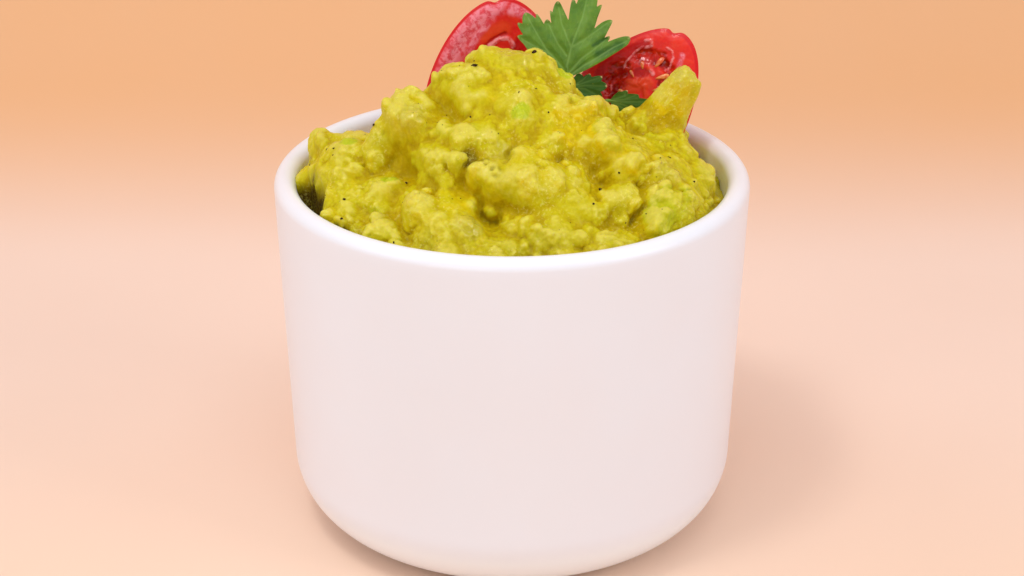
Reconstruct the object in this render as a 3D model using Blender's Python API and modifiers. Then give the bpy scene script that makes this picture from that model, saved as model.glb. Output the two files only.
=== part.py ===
"""Guacamole heaped in a small white bowl, with two tomato halves and a parsley sprig stuck in it.

Run with: blender --background --python part.py
Metres, +Z up. The origin is the centre of the bowl's foot, and the bowl's front faces -Y.
Sizes below are in millimetres and are multiplied by MM where they meet Blender.
"""

import math

import bmesh
import bpy
from mathutils import Matrix, Vector

MM = 0.001

# Bowl: a straight-sided dip bowl, a little wider at the rim than at the foot.
BOWL_HEIGHT = 70.4
RIM_RADIUS = 45.0
SHOULDER_RADIUS = 43.1  # outer radius where the side meets the foot's round corner
FOOT_CORNER = 13.6
WALL = 4.2
FLOOR_THICKNESS = 6.0
INNER_CORNER = 10.0
FOOT_RING_WIDTH = 5.0
FOOT_RECESS = 0.9
BOWL_SIDES = 56

# Guacamole: a heap with its crest across the bowl, from left to right.
CREST = (  # (x, height of the crest)
    (-40.5, 66.0),
    (-34.0, 73.0),
    (-27.0, 73.5),
    (-18.0, 82.5),
    (-8.0, 90.0),
    (4.0, 91.5),
    (12.0, 84.5),
    (22.0, 79.5),
    (30.0, 77.5),
    (35.0, 71.0),
    (40.5, 64.0),
)
FRONT_LEVEL = 65.0
BACK_LEVEL = 62.0
FRONT_SLOPE_WIDTH = 40.0
BACK_SLOPE_WIDTH = 27.0
HOLLOWS = (  # (x, y, radius, depth): gaps left between the heap and the bowl's wall
    (-36.0, -14.0, 6.0, 9.0),
    (-28.0, -27.0, 4.5, 7.0),
    (-23.0, 27.0, 8.0, 3.0),
)
LUMPS = (  # (x, y, radius, rise above the heap)
    (5.0, -2.0, 5.5, 3.0),
    (-5.0, -3.0, 8.0, 1.6),
    (9.0, -7.0, 4.5, 1.6),
    (17.0, -4.0, 6.0, 2.0),
    (-8.0, -14.0, 5.0, 1.6),
    (-4.0, -18.5, 5.5, 2.0),
    (5.5, -15.0, 6.0, 2.0),
    (12.0, -13.0, 5.5, 1.8),
    (-12.0, -18.0, 5.5, 2.0),
    (-2.0, -23.0, 5.0, 2.4),
    (5.0, -26.0, 5.0, 2.2),
    (22.0, -13.0, 6.5, 3.4),
    (20.5, -21.0, 4.5, 2.0),
    (29.0, -17.0, 5.0, 2.0),
    (28.5, 1.0, 4.5, 2.6),
    (-34.0, 3.0, 5.5, 3.0),
    (-30.0, -8.0, 5.0, 2.0),
    (-21.0, -16.0, 5.0, 1.8),
    (-13.0, -25.0, 6.5, 2.6),
    (-16.0, 8.0, 6.5, 1.6),
    (4.0, 9.0, 6.0, 1.6),
    (-31.0, 17.0, 5.0, 1.8),
    (33.0, 14.0, 4.5, 1.8),
)
CREASE = 1.5  # how widely a lump's foot blends into the heap
HEAP_RINGS = 23
WALL_RINGS = 4
CORNER_RINGS = 3
FLOOR_RINGS = 3

GAP = 0.3  # clearance between pieces that touch

# Tomato halves: a small plum tomato cut lengthwise. Half-length, half-width and depth.
TOMATO_HALF_LENGTH = 20.0
TOMATO_TAPER = 0.15  # the shown end is narrower than the buried one
TOMATO_SEGMENTS = 32
TOMATO_RINGS = 20
POCKET_DEPTH = 0.8
TOMATOES = (  # name, centre of the cut face, half-width, depth, sideways lean, backward lean, turn
    ("tomato_half_left", (-3.1, 23.5, 76.1), 14.1, 10.0, 6.0, 14.0, -6.0),
    ("tomato_half_right", (21.4, 12.5, 76.1), 12.2, 10.0, 36.0, 14.0, 12.0),
)
SIGHT_PITCH = 24.0  # a cut face with no turn looks this far upwards, towards whoever is eating

# Parsley: three leaflets on one stalk. Teeth are (degrees from the leaflet's own axis, reach).
TERMINAL_TEETH = (
    (-60, 4.0),
    (-53, 9.3),
    (-46, 12.6),
    (-40, 14.3),
    (-36, 13.5),
    (-31, 15.1),
    (-26, 12.8),
    (-23, 13.7),
    (-20, 11.2),
    (-17, 12.2),
    (-14, 13.6),
    (-6, 15.3),
    (1, 12.0),
    (5, 15.7),
    (11, 17.8),
    (20, 16.7),
    (26, 15.8),
    (27, 10.9),
    (37, 14.3),
    (39, 10.8),
    (44, 11.4),
    (46, 10.2),
    (55, 14.4),
    (60, 10.9),
    (58, 6.0),
)
SIDE_TEETH = (
    (-62, 2.0),
    (-38, 4.0),
    (-22, 5.3),
    (-12, 4.6),
    (0, 6.4),
    (10, 5.2),
    (20, 6.2),
    (32, 4.4),
    (42, 4.8),
    (60, 2.0),
)
LEAFLETS = (  # teeth, base, heading (degrees from upright, towards +X), size, backward lean
    (TERMINAL_TEETH, (10.6, 10.5, 83.8), 0.0, 1.0, 17.0),
    (SIDE_TEETH, (11.8, 10.0, 82.0), 66.0, 1.05, 12.0),
    (SIDE_TEETH, (18.6, 8.6, 80.9), 94.0, 1.25, 12.0),
)
BLADE_THICKNESS = 0.5
STALK_RADIUS = 0.7
STALK_FOOT = (8.5, 8.5, 64.0)
STALK_NODE = (9.6, 9.4, 77.0)


def clear_scene():
    for obj in list(bpy.data.objects):
        bpy.data.objects.remove(obj)


def new_collection(name, hidden=False):
    collection = bpy.data.collections.new(name)
    collection.hide_render = hidden
    bpy.context.scene.collection.children.link(collection)
    return collection


def new_material(name, colour, roughness):
    material = bpy.data.materials.new(name)
    material.use_nodes = True
    shader = material.node_tree.nodes["Principled BSDF"]
    shader.inputs["Base Color"].default_value = (*colour, 1.0)
    shader.inputs["Roughness"].default_value = roughness
    shader.inputs["Metallic"].default_value = 0.0
    return material


def new_object(name, mesh, collection, material=None):
    obj = bpy.data.objects.new(name, mesh)
    collection.objects.link(obj)
    if material:
        mesh.materials.append(material)
    return obj


def mesh_from_bmesh(name, bm):
    bmesh.ops.recalc_face_normals(bm, faces=bm.faces)
    mesh = bpy.data.meshes.new(name)
    bm.to_mesh(mesh)
    bm.free()
    return mesh


def arc(centre, radius, start, end, count):
    """Points (r, z) on a circle from start to end, in degrees, both included."""
    step = (end - start) / (count - 1)
    angles = [math.radians(start + step * i) for i in range(count)]
    return [(centre[0] + radius * math.cos(a), centre[1] + radius * math.sin(a)) for a in angles]


def outer_radius(z):
    """The bowl's outer radius on its straight side, at height z."""
    side_top = BOWL_HEIGHT - WALL / 2
    share = (z - FOOT_CORNER) / (side_top - FOOT_CORNER)
    return SHOULDER_RADIUS + (RIM_RADIUS - SHOULDER_RADIUS) * share


def inner_radius(z):
    """The cavity's radius at height z, up to where the rim starts to round over."""
    return outer_radius(min(z, BOWL_HEIGHT - WALL / 2)) - WALL


def bowl_profile():
    """From the cavity's floor, up the inside, over the rim, down the outside and under the foot."""
    inner_corner_top = FLOOR_THICKNESS + INNER_CORNER
    corner_centre = (inner_radius(inner_corner_top) - INNER_CORNER, inner_corner_top)
    rim_centre = (RIM_RADIUS - WALL / 2, BOWL_HEIGHT - WALL / 2)
    foot_centre = (SHOULDER_RADIUS - FOOT_CORNER, FOOT_CORNER)
    foot_inside = foot_centre[0] - FOOT_RING_WIDTH
    points = [(0.0, FLOOR_THICKNESS)]
    points += arc(corner_centre, INNER_CORNER, -90, 0, 7)
    points += arc(rim_centre, WALL / 2, 180, 0, 9)
    points += arc(foot_centre, FOOT_CORNER, 0, -90, 9)
    points += [(foot_inside, 0.0), (foot_inside - FOOT_RECESS, FOOT_RECESS), (0.0, FOOT_RECESS)]
    return points


def make_bowl(collection, material):
    mesh = bpy.data.meshes.new("bowl")
    points = [(r * MM, 0.0, z * MM) for r, z in bowl_profile()]
    mesh.from_pydata(points, [(i, i + 1) for i in range(len(points) - 1)], [])
    bowl = new_object("bowl", mesh, collection, material)
    screw = bowl.modifiers.new("turn", "SCREW")
    screw.steps = BOWL_SIDES
    screw.render_steps = BOWL_SIDES
    screw.use_merge_vertices = True
    screw.merge_threshold = 0.00001
    screw.use_smooth_shade = True
    return bowl


def crest_height(x):
    """The crest's height at x: a smooth curve through the CREST stations (cubic Hermite)."""
    x = min(max(x, CREST[0][0]), CREST[-1][0])
    k = max(i for i in range(len(CREST) - 1) if CREST[i][0] <= x)
    (x0, z0), (x1, z1) = CREST[k], CREST[k + 1]

    def slope(i):
        a, b = CREST[max(i - 1, 0)], CREST[min(i + 1, len(CREST) - 1)]
        return (b[1] - a[1]) / (b[0] - a[0])

    span = x1 - x0
    t = (x - x0) / span
    lift = (1 + 2 * t) * (1 - t) ** 2 * z0 + t * t * (3 - 2 * t) * z1
    bend = t * (1 - t) ** 2 * span * slope(k) - t * t * (1 - t) * span * slope(k + 1)
    return lift + bend


def heap_height(x, y):
    """The heap without its lumps: a half cosine falls from the crest to the wall on each side."""
    level, width = (FRONT_LEVEL, FRONT_SLOPE_WIDTH) if y < 0 else (BACK_LEVEL, BACK_SLOPE_WIDTH)
    crest = crest_height(x)
    level = min(level, crest)
    fall = 0.5 * (1 + math.cos(math.pi * min(abs(y) / width, 1.0)))
    height = level + (crest - level) * fall
    for hx, hy, radius, depth in HOLLOWS:
        height -= depth * math.exp(-((x - hx) ** 2 + (y - hy) ** 2) / radius**2)
    return height


def lumpy_height(x, y):
    """The heap with each lump added as a ball that stands out of it, with a soft crease round it."""
    height = heap_height(x, y)
    for lx, ly, radius, rise in LUMPS:
        square = radius**2 - (x - lx) ** 2 - (y - ly) ** 2
        if square > 0:
            ball_top = heap_height(lx, ly) + rise - radius + math.sqrt(square)
            overlap = max(CREASE - abs(ball_top - height), 0.0)
            height = max(height, ball_top) + overlap**2 / (4 * CREASE)
    return height


def heap_ring_point(ring, angle):
    """The point at this angle on a ring, counted from the middle of the heap's top to the floor's middle."""
    direction = Vector((math.cos(angle), math.sin(angle)))
    edge_height = lumpy_height(*(direction * (inner_radius(BOWL_HEIGHT) - GAP)))
    edge_height = min(edge_height, BOWL_HEIGHT - WALL / 2)
    edge_radius = inner_radius(edge_height) - GAP
    corner_top = FLOOR_THICKNESS + INNER_CORNER
    if ring <= HEAP_RINGS:
        radius = edge_radius * ring / HEAP_RINGS
        x, y = direction * radius
        height = lumpy_height(x, y) if ring < HEAP_RINGS else edge_height
        return Vector((x, y, height))
    ring -= HEAP_RINGS
    if ring <= WALL_RINGS:
        height = edge_height + (corner_top - edge_height) * ring / WALL_RINGS
        radius = inner_radius(height) - GAP
    elif ring <= WALL_RINGS + CORNER_RINGS:
        turn = math.radians(90 * (ring - WALL_RINGS) / CORNER_RINGS)
        inset = INNER_CORNER - GAP
        radius = inner_radius(corner_top) - INNER_CORNER + inset * math.cos(turn)
        height = corner_top - inset * math.sin(turn)
    else:
        ring -= WALL_RINGS + CORNER_RINGS
        radius = (inner_radius(corner_top) - INNER_CORNER) * (1 - ring / FLOOR_RINGS)
        height = FLOOR_THICKNESS + GAP
    return Vector((*(direction * radius), height))


def make_guacamole(collection, material, cutters):
    """A sphere whose rings are moved onto the heap, down the cavity's wall and across its floor."""
    rings = HEAP_RINGS + WALL_RINGS + CORNER_RINGS + FLOOR_RINGS
    bm = bmesh.new()
    bmesh.ops.create_uvsphere(bm, u_segments=BOWL_SIDES, v_segments=rings, radius=1.0)
    for vertex in bm.verts:
        ring = round(math.acos(max(-1.0, min(1.0, vertex.co.z))) / math.pi * rings)
        angle = math.atan2(vertex.co.y, vertex.co.x)
        vertex.co = heap_ring_point(ring, angle) * MM
    guacamole = new_object("guacamole", mesh_from_bmesh("guacamole", bm), collection, material)
    for cutter in cutters:
        cut = guacamole.modifiers.new("room for " + cutter.name, "BOOLEAN")
        cut.operation = "DIFFERENCE"
        cut.solver = "EXACT"
        cut.object = cutter
    return guacamole


def tomato_axes(sideways, backward, turn):
    """The half's own frame: X across the cut face, Y into the flesh, Z along the tomato."""
    side, back = math.radians(sideways), math.radians(backward)
    along = Vector((math.sin(side), math.cos(side) * math.sin(back), math.cos(side) * math.cos(back)))
    pitch = math.radians(SIGHT_PITCH)
    towards_eater = Vector((0.0, -math.cos(pitch), math.sin(pitch)))
    outwards = (towards_eater - along * towards_eater.dot(along)).normalized()
    outwards = Matrix.Rotation(-math.radians(turn), 3, along) @ outwards
    into = -outwards
    across = into.cross(along)
    return Matrix((across, into, along)).transposed()


def make_tomato_half(name, centre, half_width, depth, leans, collection, material=None, grow=0.0):
    """Half an egg shape, flattened to the half's depth, with a flat cut face.

    grow makes it larger all round, for the room that the guacamole leaves.
    """
    bm = bmesh.new()
    bmesh.ops.create_uvsphere(bm, u_segments=TOMATO_SEGMENTS, v_segments=TOMATO_RINGS, radius=1.0)
    in_front = [vertex for vertex in bm.verts if vertex.co.y < -0.001]
    bmesh.ops.delete(bm, geom=in_front, context="VERTS")
    for vertex in bm.verts:
        x, y, z = vertex.co
        girth = 1 - TOMATO_TAPER * z
        vertex.co = (
            x * girth * (half_width + grow),
            max(y, 0.0) * girth * (depth + 2 * grow) - grow,
            z * (TOMATO_HALF_LENGTH + grow),
        )
    rim = [edge for edge in bm.edges if edge.is_boundary]
    bmesh.ops.edgeloop_fill(bm, edges=rim)
    placed = Matrix.Translation(Vector(centre)) @ tomato_axes(*leans).to_4x4()
    bmesh.ops.transform(bm, matrix=Matrix.Scale(MM, 4) @ placed, verts=bm.verts)
    return new_object(name, mesh_from_bmesh(name, bm), collection, material)


def make_pocket_cutter(name, half_width, side, placed, collection):
    """The shallow hollow where the seeds sit, one on each side of the tomato's core."""
    bm = bmesh.new()
    bmesh.ops.create_uvsphere(bm, u_segments=16, v_segments=10, radius=1.0)
    stretch = Matrix.Diagonal((0.3 * half_width, 1.4 * POCKET_DEPTH, 0.55 * TOMATO_HALF_LENGTH, 1.0))
    shift = Matrix.Translation((side * 0.4 * half_width, -0.4 * POCKET_DEPTH, 0.06 * TOMATO_HALF_LENGTH))
    bmesh.ops.transform(bm, matrix=Matrix.Scale(MM, 4) @ placed @ shift @ stretch, verts=bm.verts)
    return new_object(name, mesh_from_bmesh(name, bm), collection)


def make_tomatoes(parts, cutters, material):
    """Both halves with their seed pockets. Returns larger copies, which make room in the guacamole."""
    rooms = []
    for name, centre, half_width, depth, *leans in TOMATOES:
        half = make_tomato_half(name, centre, half_width, depth, leans, parts, material)
        placed = Matrix.Translation(Vector(centre)) @ tomato_axes(*leans).to_4x4()
        for label, side in (("a", -1), ("b", 1)):
            pocket = make_pocket_cutter(f"{name}_pocket_{label}", half_width, side, placed, cutters)
            cut = half.modifiers.new("seed pocket " + label, "BOOLEAN")
            cut.operation = "DIFFERENCE"
            cut.object = pocket
        room = make_tomato_half(name + "_room", centre, half_width, depth, leans, cutters, grow=1.2 * GAP)
        rooms.append(room)
    return rooms


def tube(name, points, radius, collection):
    """A round stalk through the given points, as a closed mesh with welded ends."""
    curve = bpy.data.curves.new(name, "CURVE")
    curve.dimensions = "3D"
    curve.bevel_depth = radius * MM
    curve.bevel_resolution = 2
    curve.use_fill_caps = True
    spline = curve.splines.new("POLY")
    spline.points.add(len(points) - 1)
    for point, place in zip(spline.points, points):
        point.co = (*(Vector(place) * MM), 1.0)
    return mesh_of_curve(name, curve, Matrix.Identity(4), collection)


def mesh_of_curve(name, curve, placed, collection):
    """The curve as a closed mesh object in its place, with its caps welded."""
    source = bpy.data.objects.new(name + "_curve", curve)
    source.matrix_world = placed
    bpy.context.scene.collection.objects.link(source)
    bpy.context.view_layer.update()
    graph = bpy.context.evaluated_depsgraph_get()
    mesh = bpy.data.meshes.new_from_object(source.evaluated_get(graph))
    bm = bmesh.new()
    bm.from_mesh(mesh)
    bmesh.ops.remove_doubles(bm, verts=bm.verts, dist=0.000001)
    bmesh.ops.recalc_face_normals(bm, faces=bm.faces)
    bm.transform(source.matrix_world)
    bm.to_mesh(mesh)
    bm.free()
    bpy.data.objects.remove(source)
    return new_object(name, mesh, collection)


def leaflet_matrix(base, heading, lean):
    """Places a flat leaflet drawn in XY that grows along +Y: turned to its heading, then stood up."""
    upright = Matrix.Rotation(math.radians(90 - lean), 4, "X")
    turned = Matrix.Rotation(-math.radians(heading), 4, "Z")
    return Matrix.Translation(Vector(base) * MM) @ upright @ turned


def make_blade(name, teeth, base, heading, size, lean, collection):
    """A flat leaflet: its outline runs from the stalk round the teeth, with a given thickness."""
    curve = bpy.data.curves.new(name, "CURVE")
    curve.dimensions = "2D"
    curve.fill_mode = "BOTH"
    curve.extrude = BLADE_THICKNESS * MM / 2
    spline = curve.splines.new("POLY")
    outline = [(0.0, -1.0)]
    for degrees, reach in teeth:
        angle = math.radians(degrees)
        outline.append((size * reach * math.sin(angle), size * reach * math.cos(angle)))
    spline.points.add(len(outline) - 1)
    for point, (x, y) in zip(spline.points, outline):
        point.co = (x * MM, y * MM, 0.0, 1.0)
    spline.use_cyclic_u = True
    return mesh_of_curve(name, curve, leaflet_matrix(base, heading, lean), collection)


def make_parsley(parts, cutters, material):
    """One stalk with a terminal leaflet and two side leaflets, joined into one solid.

    Returns the wider stalks that make room for it in the guacamole.
    """
    node = Vector(STALK_NODE)
    terminal = Vector(LEAFLETS[0][1])
    stem = [Vector(STALK_FOOT), node, terminal, terminal + Vector((0.3, 0.4, 1.6))]
    sprig = tube("parsley_sprig", stem, STALK_RADIUS, parts)
    sprig.data.materials.append(material)
    rooms = [tube("stalk_room", stem, STALK_RADIUS + 1.3 * GAP, cutters)]
    pieces = []
    for index, (teeth, base, heading, size, lean) in enumerate(LEAFLETS):
        pieces.append(make_blade(f"blade_{index}", teeth, base, heading, size, lean, cutters))
        if index:
            start = node + (terminal - node) * 0.1
            towards = leaflet_matrix(base, heading, lean).to_3x3() @ Vector((0.0, 1.0, 0.0))
            route = [start, Vector(base) - towards * 0.4, Vector(base) + towards * 1.5]
            radius = 0.8 * STALK_RADIUS
            pieces.append(tube(f"side_stalk_{index}", route, radius, cutters))
            rooms.append(tube(f"side_stalk_room_{index}", route, radius + 1.3 * GAP, cutters))
    for piece in pieces:
        join = sprig.modifiers.new("join " + piece.name, "BOOLEAN")
        join.operation = "UNION"
        join.object = piece
    return rooms


def hide_cutters(collection):
    for cutter in collection.objects:
        cutter.hide_render = True
        cutter.display_type = "WIRE"


def main():
    clear_scene()
    parts = new_collection("guacamole_bowl")
    cutters = new_collection("cutters", hidden=True)
    ceramic = new_material("white_glaze", (0.86, 0.83, 0.84), 0.22)
    mash = new_material("avocado_mash", (0.62, 0.55, 0.06), 0.45)
    flesh = new_material("tomato_flesh", (0.68, 0.03, 0.02), 0.3)
    leaf = new_material("parsley_leaf", (0.08, 0.22, 0.03), 0.5)
    make_bowl(parts, ceramic)
    rooms = make_tomatoes(parts, cutters, flesh)
    rooms += make_parsley(parts, cutters, leaf)
    make_guacamole(parts, mash, rooms)
    hide_cutters(cutters)


main()
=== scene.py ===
"""Guacamole heaped in a small white dip bowl, with two tomato halves and a parsley sprig.

The file is laid out as a Blender add-on and run as a script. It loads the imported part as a
frame, then makes each piece's finished surface in the place that the frame gives it. Lengths
inside the functions are in millimetres, and are multiplied by MM where they meet Blender.
"""

import math

import bpy
import numpy as np
from mathutils import Matrix, Vector


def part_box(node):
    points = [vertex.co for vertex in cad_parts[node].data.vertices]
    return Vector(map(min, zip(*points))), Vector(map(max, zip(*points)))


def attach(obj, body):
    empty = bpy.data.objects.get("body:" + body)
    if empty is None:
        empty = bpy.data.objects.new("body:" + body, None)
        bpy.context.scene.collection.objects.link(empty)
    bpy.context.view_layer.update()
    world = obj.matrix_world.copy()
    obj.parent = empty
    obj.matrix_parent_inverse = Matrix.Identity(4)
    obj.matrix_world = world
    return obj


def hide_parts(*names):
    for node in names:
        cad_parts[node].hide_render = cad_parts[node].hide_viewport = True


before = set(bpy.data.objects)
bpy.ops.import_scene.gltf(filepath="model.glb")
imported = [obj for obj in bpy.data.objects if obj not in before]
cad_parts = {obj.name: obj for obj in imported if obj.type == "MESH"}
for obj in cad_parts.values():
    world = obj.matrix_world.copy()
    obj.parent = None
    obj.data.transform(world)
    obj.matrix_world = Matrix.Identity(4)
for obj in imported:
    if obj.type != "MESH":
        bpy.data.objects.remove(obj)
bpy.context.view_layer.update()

bl_info = {
    "name": "Guacamole in a dip bowl",
    "version": (1, 0, 0),
    "blender": (4, 5, 0),
    "location": "3D View > Sidebar > Guacamole",
    "description": "Makes a bowl of chunky guacamole with its tomato and parsley garnish",
    "category": "Add Mesh",
}

MM = 0.001

# The bowl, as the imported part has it.
LOW, HIGH = (np.array(corner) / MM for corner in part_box("bowl"))
RIM_RADIUS = float(HIGH[0])
BOWL_HEIGHT = float(HIGH[2])
WALL = 4.2
LIP = WALL / 2
SHOULDER_RADIUS = RIM_RADIUS - 1.9
FOOT_CORNER = 13.6
FLOOR_THICKNESS = 6.0
INNER_CORNER = 10.0
FOOT_RING_WIDTH = 5.0
FOOT_RECESS = 0.9
BOWL_AROUND = 224  # points round the bowl
PROFILE_STEP = 1.6  # spacing of points on the profile's straight runs
WAVER = 0.05  # how far a cast bowl is out of round
WAVER_SIZE = 24.0

# The heap's crest across the bowl, as (x, height), and how it falls to the wall.
CREST = np.array(
    (
        (-40.5, 66.0), (-34.0, 73.0), (-27.0, 73.5), (-18.0, 82.5), (-8.0, 90.0), (4.0, 91.5),
        (12.0, 84.5), (22.0, 79.5), (30.0, 77.5), (35.0, 71.0), (40.5, 64.0),
    )
)
FRONT_LEVEL = 64.5
BACK_LEVEL = 62.0
FRONT_SLOPE_WIDTH = 40.0
BACK_SLOPE_WIDTH = 27.0
HOLLOWS = (  # (x, y, radius, depth)
    (-39.5, -12.5, 5.0, 6.0),
    (-30.5, -27.0, 3.5, 4.0),
    (-23.0, 27.0, 8.0, 3.0),
)
GAPS = (  # a path along the wall where the mash stands off it, the gap's width and its depth
    (((-41.0, -9.3), (-40.6, -10.8), (-39.2, -14.0)), 3.9, 16.0),
    (((-31.8, -25.5), (-28.6, -28.6)), 1.6, 6.0),
)
HEART = np.array((0.0, 10.0, 36.0))  # the point inside the heap that its lumps swell away from

# Long masses from (x, y) to (x, y), with a radius, a rise and a hue from -1, green, to 1, orange.
RIDGES = (
    (-31.0, -15.8, -20.8, -16.4, 4.4, 2.8, 0.2),
    (-5.0, -22.0, 8.5, -21.5, 5.6, 3.4, 0.4),
    (17.8, -22.3, 23.0, -18.8, 3.4, 2.6, 0.2),
    (11.0, -4.5, 18.0, -5.0, 5.0, 1.8, 0.0),
    (5.0, -12.6, 14.0, -11.2, 5.4, 2.4, 0.7),
    (-38.5, 3.0, -29.0, 0.5, 4.6, 2.4, 0.1),
    (-37.0, -3.0, -28.5, -6.0, 4.8, 3.0, 0.0),
    (-20.0, -19.5, -11.0, -20.0, 3.4, 2.0, 0.1),
    (-3.0, -1.5, 2.8, -1.0, 5.0, 1.6, 0.0),
    (-12.0, -4.0, -4.0, -5.0, 6.0, 1.2, 0.1),
)
LUMPS = (  # (x, y, radius, rise, hue)
    (-19.0, -3.5, 5.0, 1.4, 0.1),
    (-5.5, -10.5, 3.6, 1.4, 0.1),
    (3.0, -11.0, 4.2, 1.6, 0.1),
    (-13.5, -10.0, 3.6, 1.4, 0.0),
    (-8.5, -15.0, 4.4, 2.0, -0.2),
    (-2.5, -16.0, 4.4, 2.2, 0.0),
    (-14.2, -18.0, 4.2, 2.2, -0.1),
    (-18.0, -9.0, 3.6, 1.4, 0.3),
    (9.0, -26.5, 5.0, 2.4, 0.1),
    (3.5, -27.5, 4.0, 1.6, 0.3),
    (20.8, -12.4, 7.2, 4.4, 0.5),
    (15.8, -10.4, 2.2, 2.4, -0.4),
    (16.2, -13.4, 2.2, 2.0, -0.4),
    (28.4, -14.8, 4.4, 2.6, 0.3),
    (33.0, -11.5, 4.2, 2.0, 0.2),
    (26.4, 0.6, 3.0, 5.0, 0.8),
    (30.5, -6.5, 4.4, 1.8, 0.1),
    (-34.8, 4.0, 3.6, 2.6, 0.1),
    (-39.0, -1.5, 3.6, 2.6, 0.2),
    (-32.0, -8.5, 4.0, 2.2, 0.1),
    (-25.0, -21.5, 3.7, 1.5, -0.3),
    (-14.0, -26.0, 6.8, 3.6, 0.4),
    (-24.0, -25.5, 3.6, 1.6, -0.3),
    (17.0, -26.5, 3.9, 1.4, 0.0),
    (29.5, -22.5, 4.2, 1.6, -0.6),
    (-4.0, -33.0, 3.6, 1.4, 0.0),
    (10.5, -31.0, 3.6, 1.4, 0.0),
    (21.0, -28.5, 3.6, 1.3, 0.0),
    (-15.0, 8.0, 6.5, 1.8, 0.0),
    (4.0, 8.0, 5.0, 1.4, 0.0),
    (-31.0, 17.0, 5.0, 1.8, 0.0),
    (33.0, 12.0, 4.4, 1.6, 0.0),
    (-24.0, 10.0, 5.0, 1.4, 0.0),
)
PEAKS = (  # (x, y, radius, length, rise, hue) of masses drawn up to a point
    (28.4, 1.0, 3.0, 6.0, 2.8, 0.4),
    (25.3, 1.5, 2.5, 6.0, 3.4, 0.8),
    (25.7, 1.2, 1.2, 5.0, 4.2, 0.9),
)
CREASES = (  # a path of (x, y) with the mass above it and the fall below it, a depth and a width
    (((-20.0, -14.5), (-17.8, -18.2), (-14.5, -20.4)), 2.6, 2.0),
    (((-7.4, -19.5), (-6.0, -23.0), (-3.5, -25.0), (2.0, -26.0)), 5.0, 2.2),
    (((7.0, -18.6), (10.5, -16.8), (16.0, -14.6)), 2.6, 2.4),
    (((16.2, -16.4), (19.5, -17.2), (23.5, -16.8), (26.5, -14.6)), 3.0, 2.0),
    (((17.0, -24.8), (21.0, -23.2), (24.0, -20.6)), 2.4, 2.2),
    (((-28.0, -20.6), (-25.0, -20.2), (-21.8, -18.4)), 2.2, 1.8),
    (((-11.0, -9.0), (-7.5, -11.6), (-5.0, -11.2)), 1.6, 1.8),
    (((-2.6, -12.8), (-0.4, -15.0), (0.6, -18.0)), 1.6, 1.6),
    (((4.6, -6.5), (5.6, -11.5)), 1.6, 1.6),
    (((-18.8, -14.8), (-17.2, -16.8)), 1.8, 1.6),
    (((-27.0, -8.5), (-23.5, -9.5)), 1.6, 1.6),
)
NODULE_STAND = 0.18  # share of its own size that a nodule stands proud
NODULES = 300
PIPS = 520
SCATTER_REACH = 39.8  # how far from the bowl's axis nodules and pips are strewn
RIDGE_BLEND = 1.3
LUMP_BLEND = 1.8
PEAK_BLEND = 1.2
CALM_PATCH = (-34.0, -13.0, 11.0)  # (x, y, radius) where the mash leaves the wall, and is smoother
HEAP_GRID = 304
MOUTH_LEVEL = 66.0  # the height at which the grid spans the cavity
WALL_CLEARANCE = 0.04

# Sizes of the heap's noise fields: warp wavers every lump, humps swell the plain heap, ragged frays
# the painted marks, and knobs, grain and curls are its fine relief, stronger in patches.
BROAD_WARP_SIZE = 8.0
FINE_WARP_SIZE = 3.0
FINE_WARP_SHARE = 0.3
HUMP_SIZE = 7.5
HUMP_RISE = 0.5
HUMPS_END = 40.5  # reach at which the humps have died away
HUMPS_FULL = 36.0
HUE_SIZE = 8.0
HUE_SPREAD = 0.8
RAGGED_SIZE = 2.4
KNOB_SIZE = 3.0
GRAIN_SIZE = 1.1
CURL_SIZE = 2.2
CALM_SIZE = 6.0
GAP_WAVER_SIZE = 4.0
WIDE_MEAN = 10  # in grid cells, for telling humps from creases
NARROW_MEAN = 3

# Wet patches, green bits, the painted shade along the deepest crease, and pepper.
WET_PATCHES = 14
GREEN_BITS = 7
MARK_REACH = 36.0
PAINTED_SHADE_RADIUS = 1.8
PAINTED_SHADE_SHARE = 0.7
COARSE_FLECKS = 30
PEPPER_COUNT = 110
PEPPER_REACH = 39.0

# Seeds of the random draws and of the noise fields.
LUMP_SEED = 7
NODULE_SEED = 8
WET_SEED = 9
PEPPER_SEED = 19
BOWL_WAVER_SEED = 5
BROAD_WARP_SEED = 11
FINE_WARP_SEED = 12
HUE_SEED = 13
HUMP_SEED = 14
RAGGED_SEED = 16
KNOB_SEED = 21
GRAIN_SEED = 23
CALM_SEED = 25
CURL_SEED = 26
CURL_WARP_SEED = 27
GAP_SEED = 28
FACE_WAVE_SEED = 41
FACE_RIPPLE_SEED = 43
LEAF_WAVE_SEED = 61
LEAF_EDGE_SEED = 67

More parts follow.
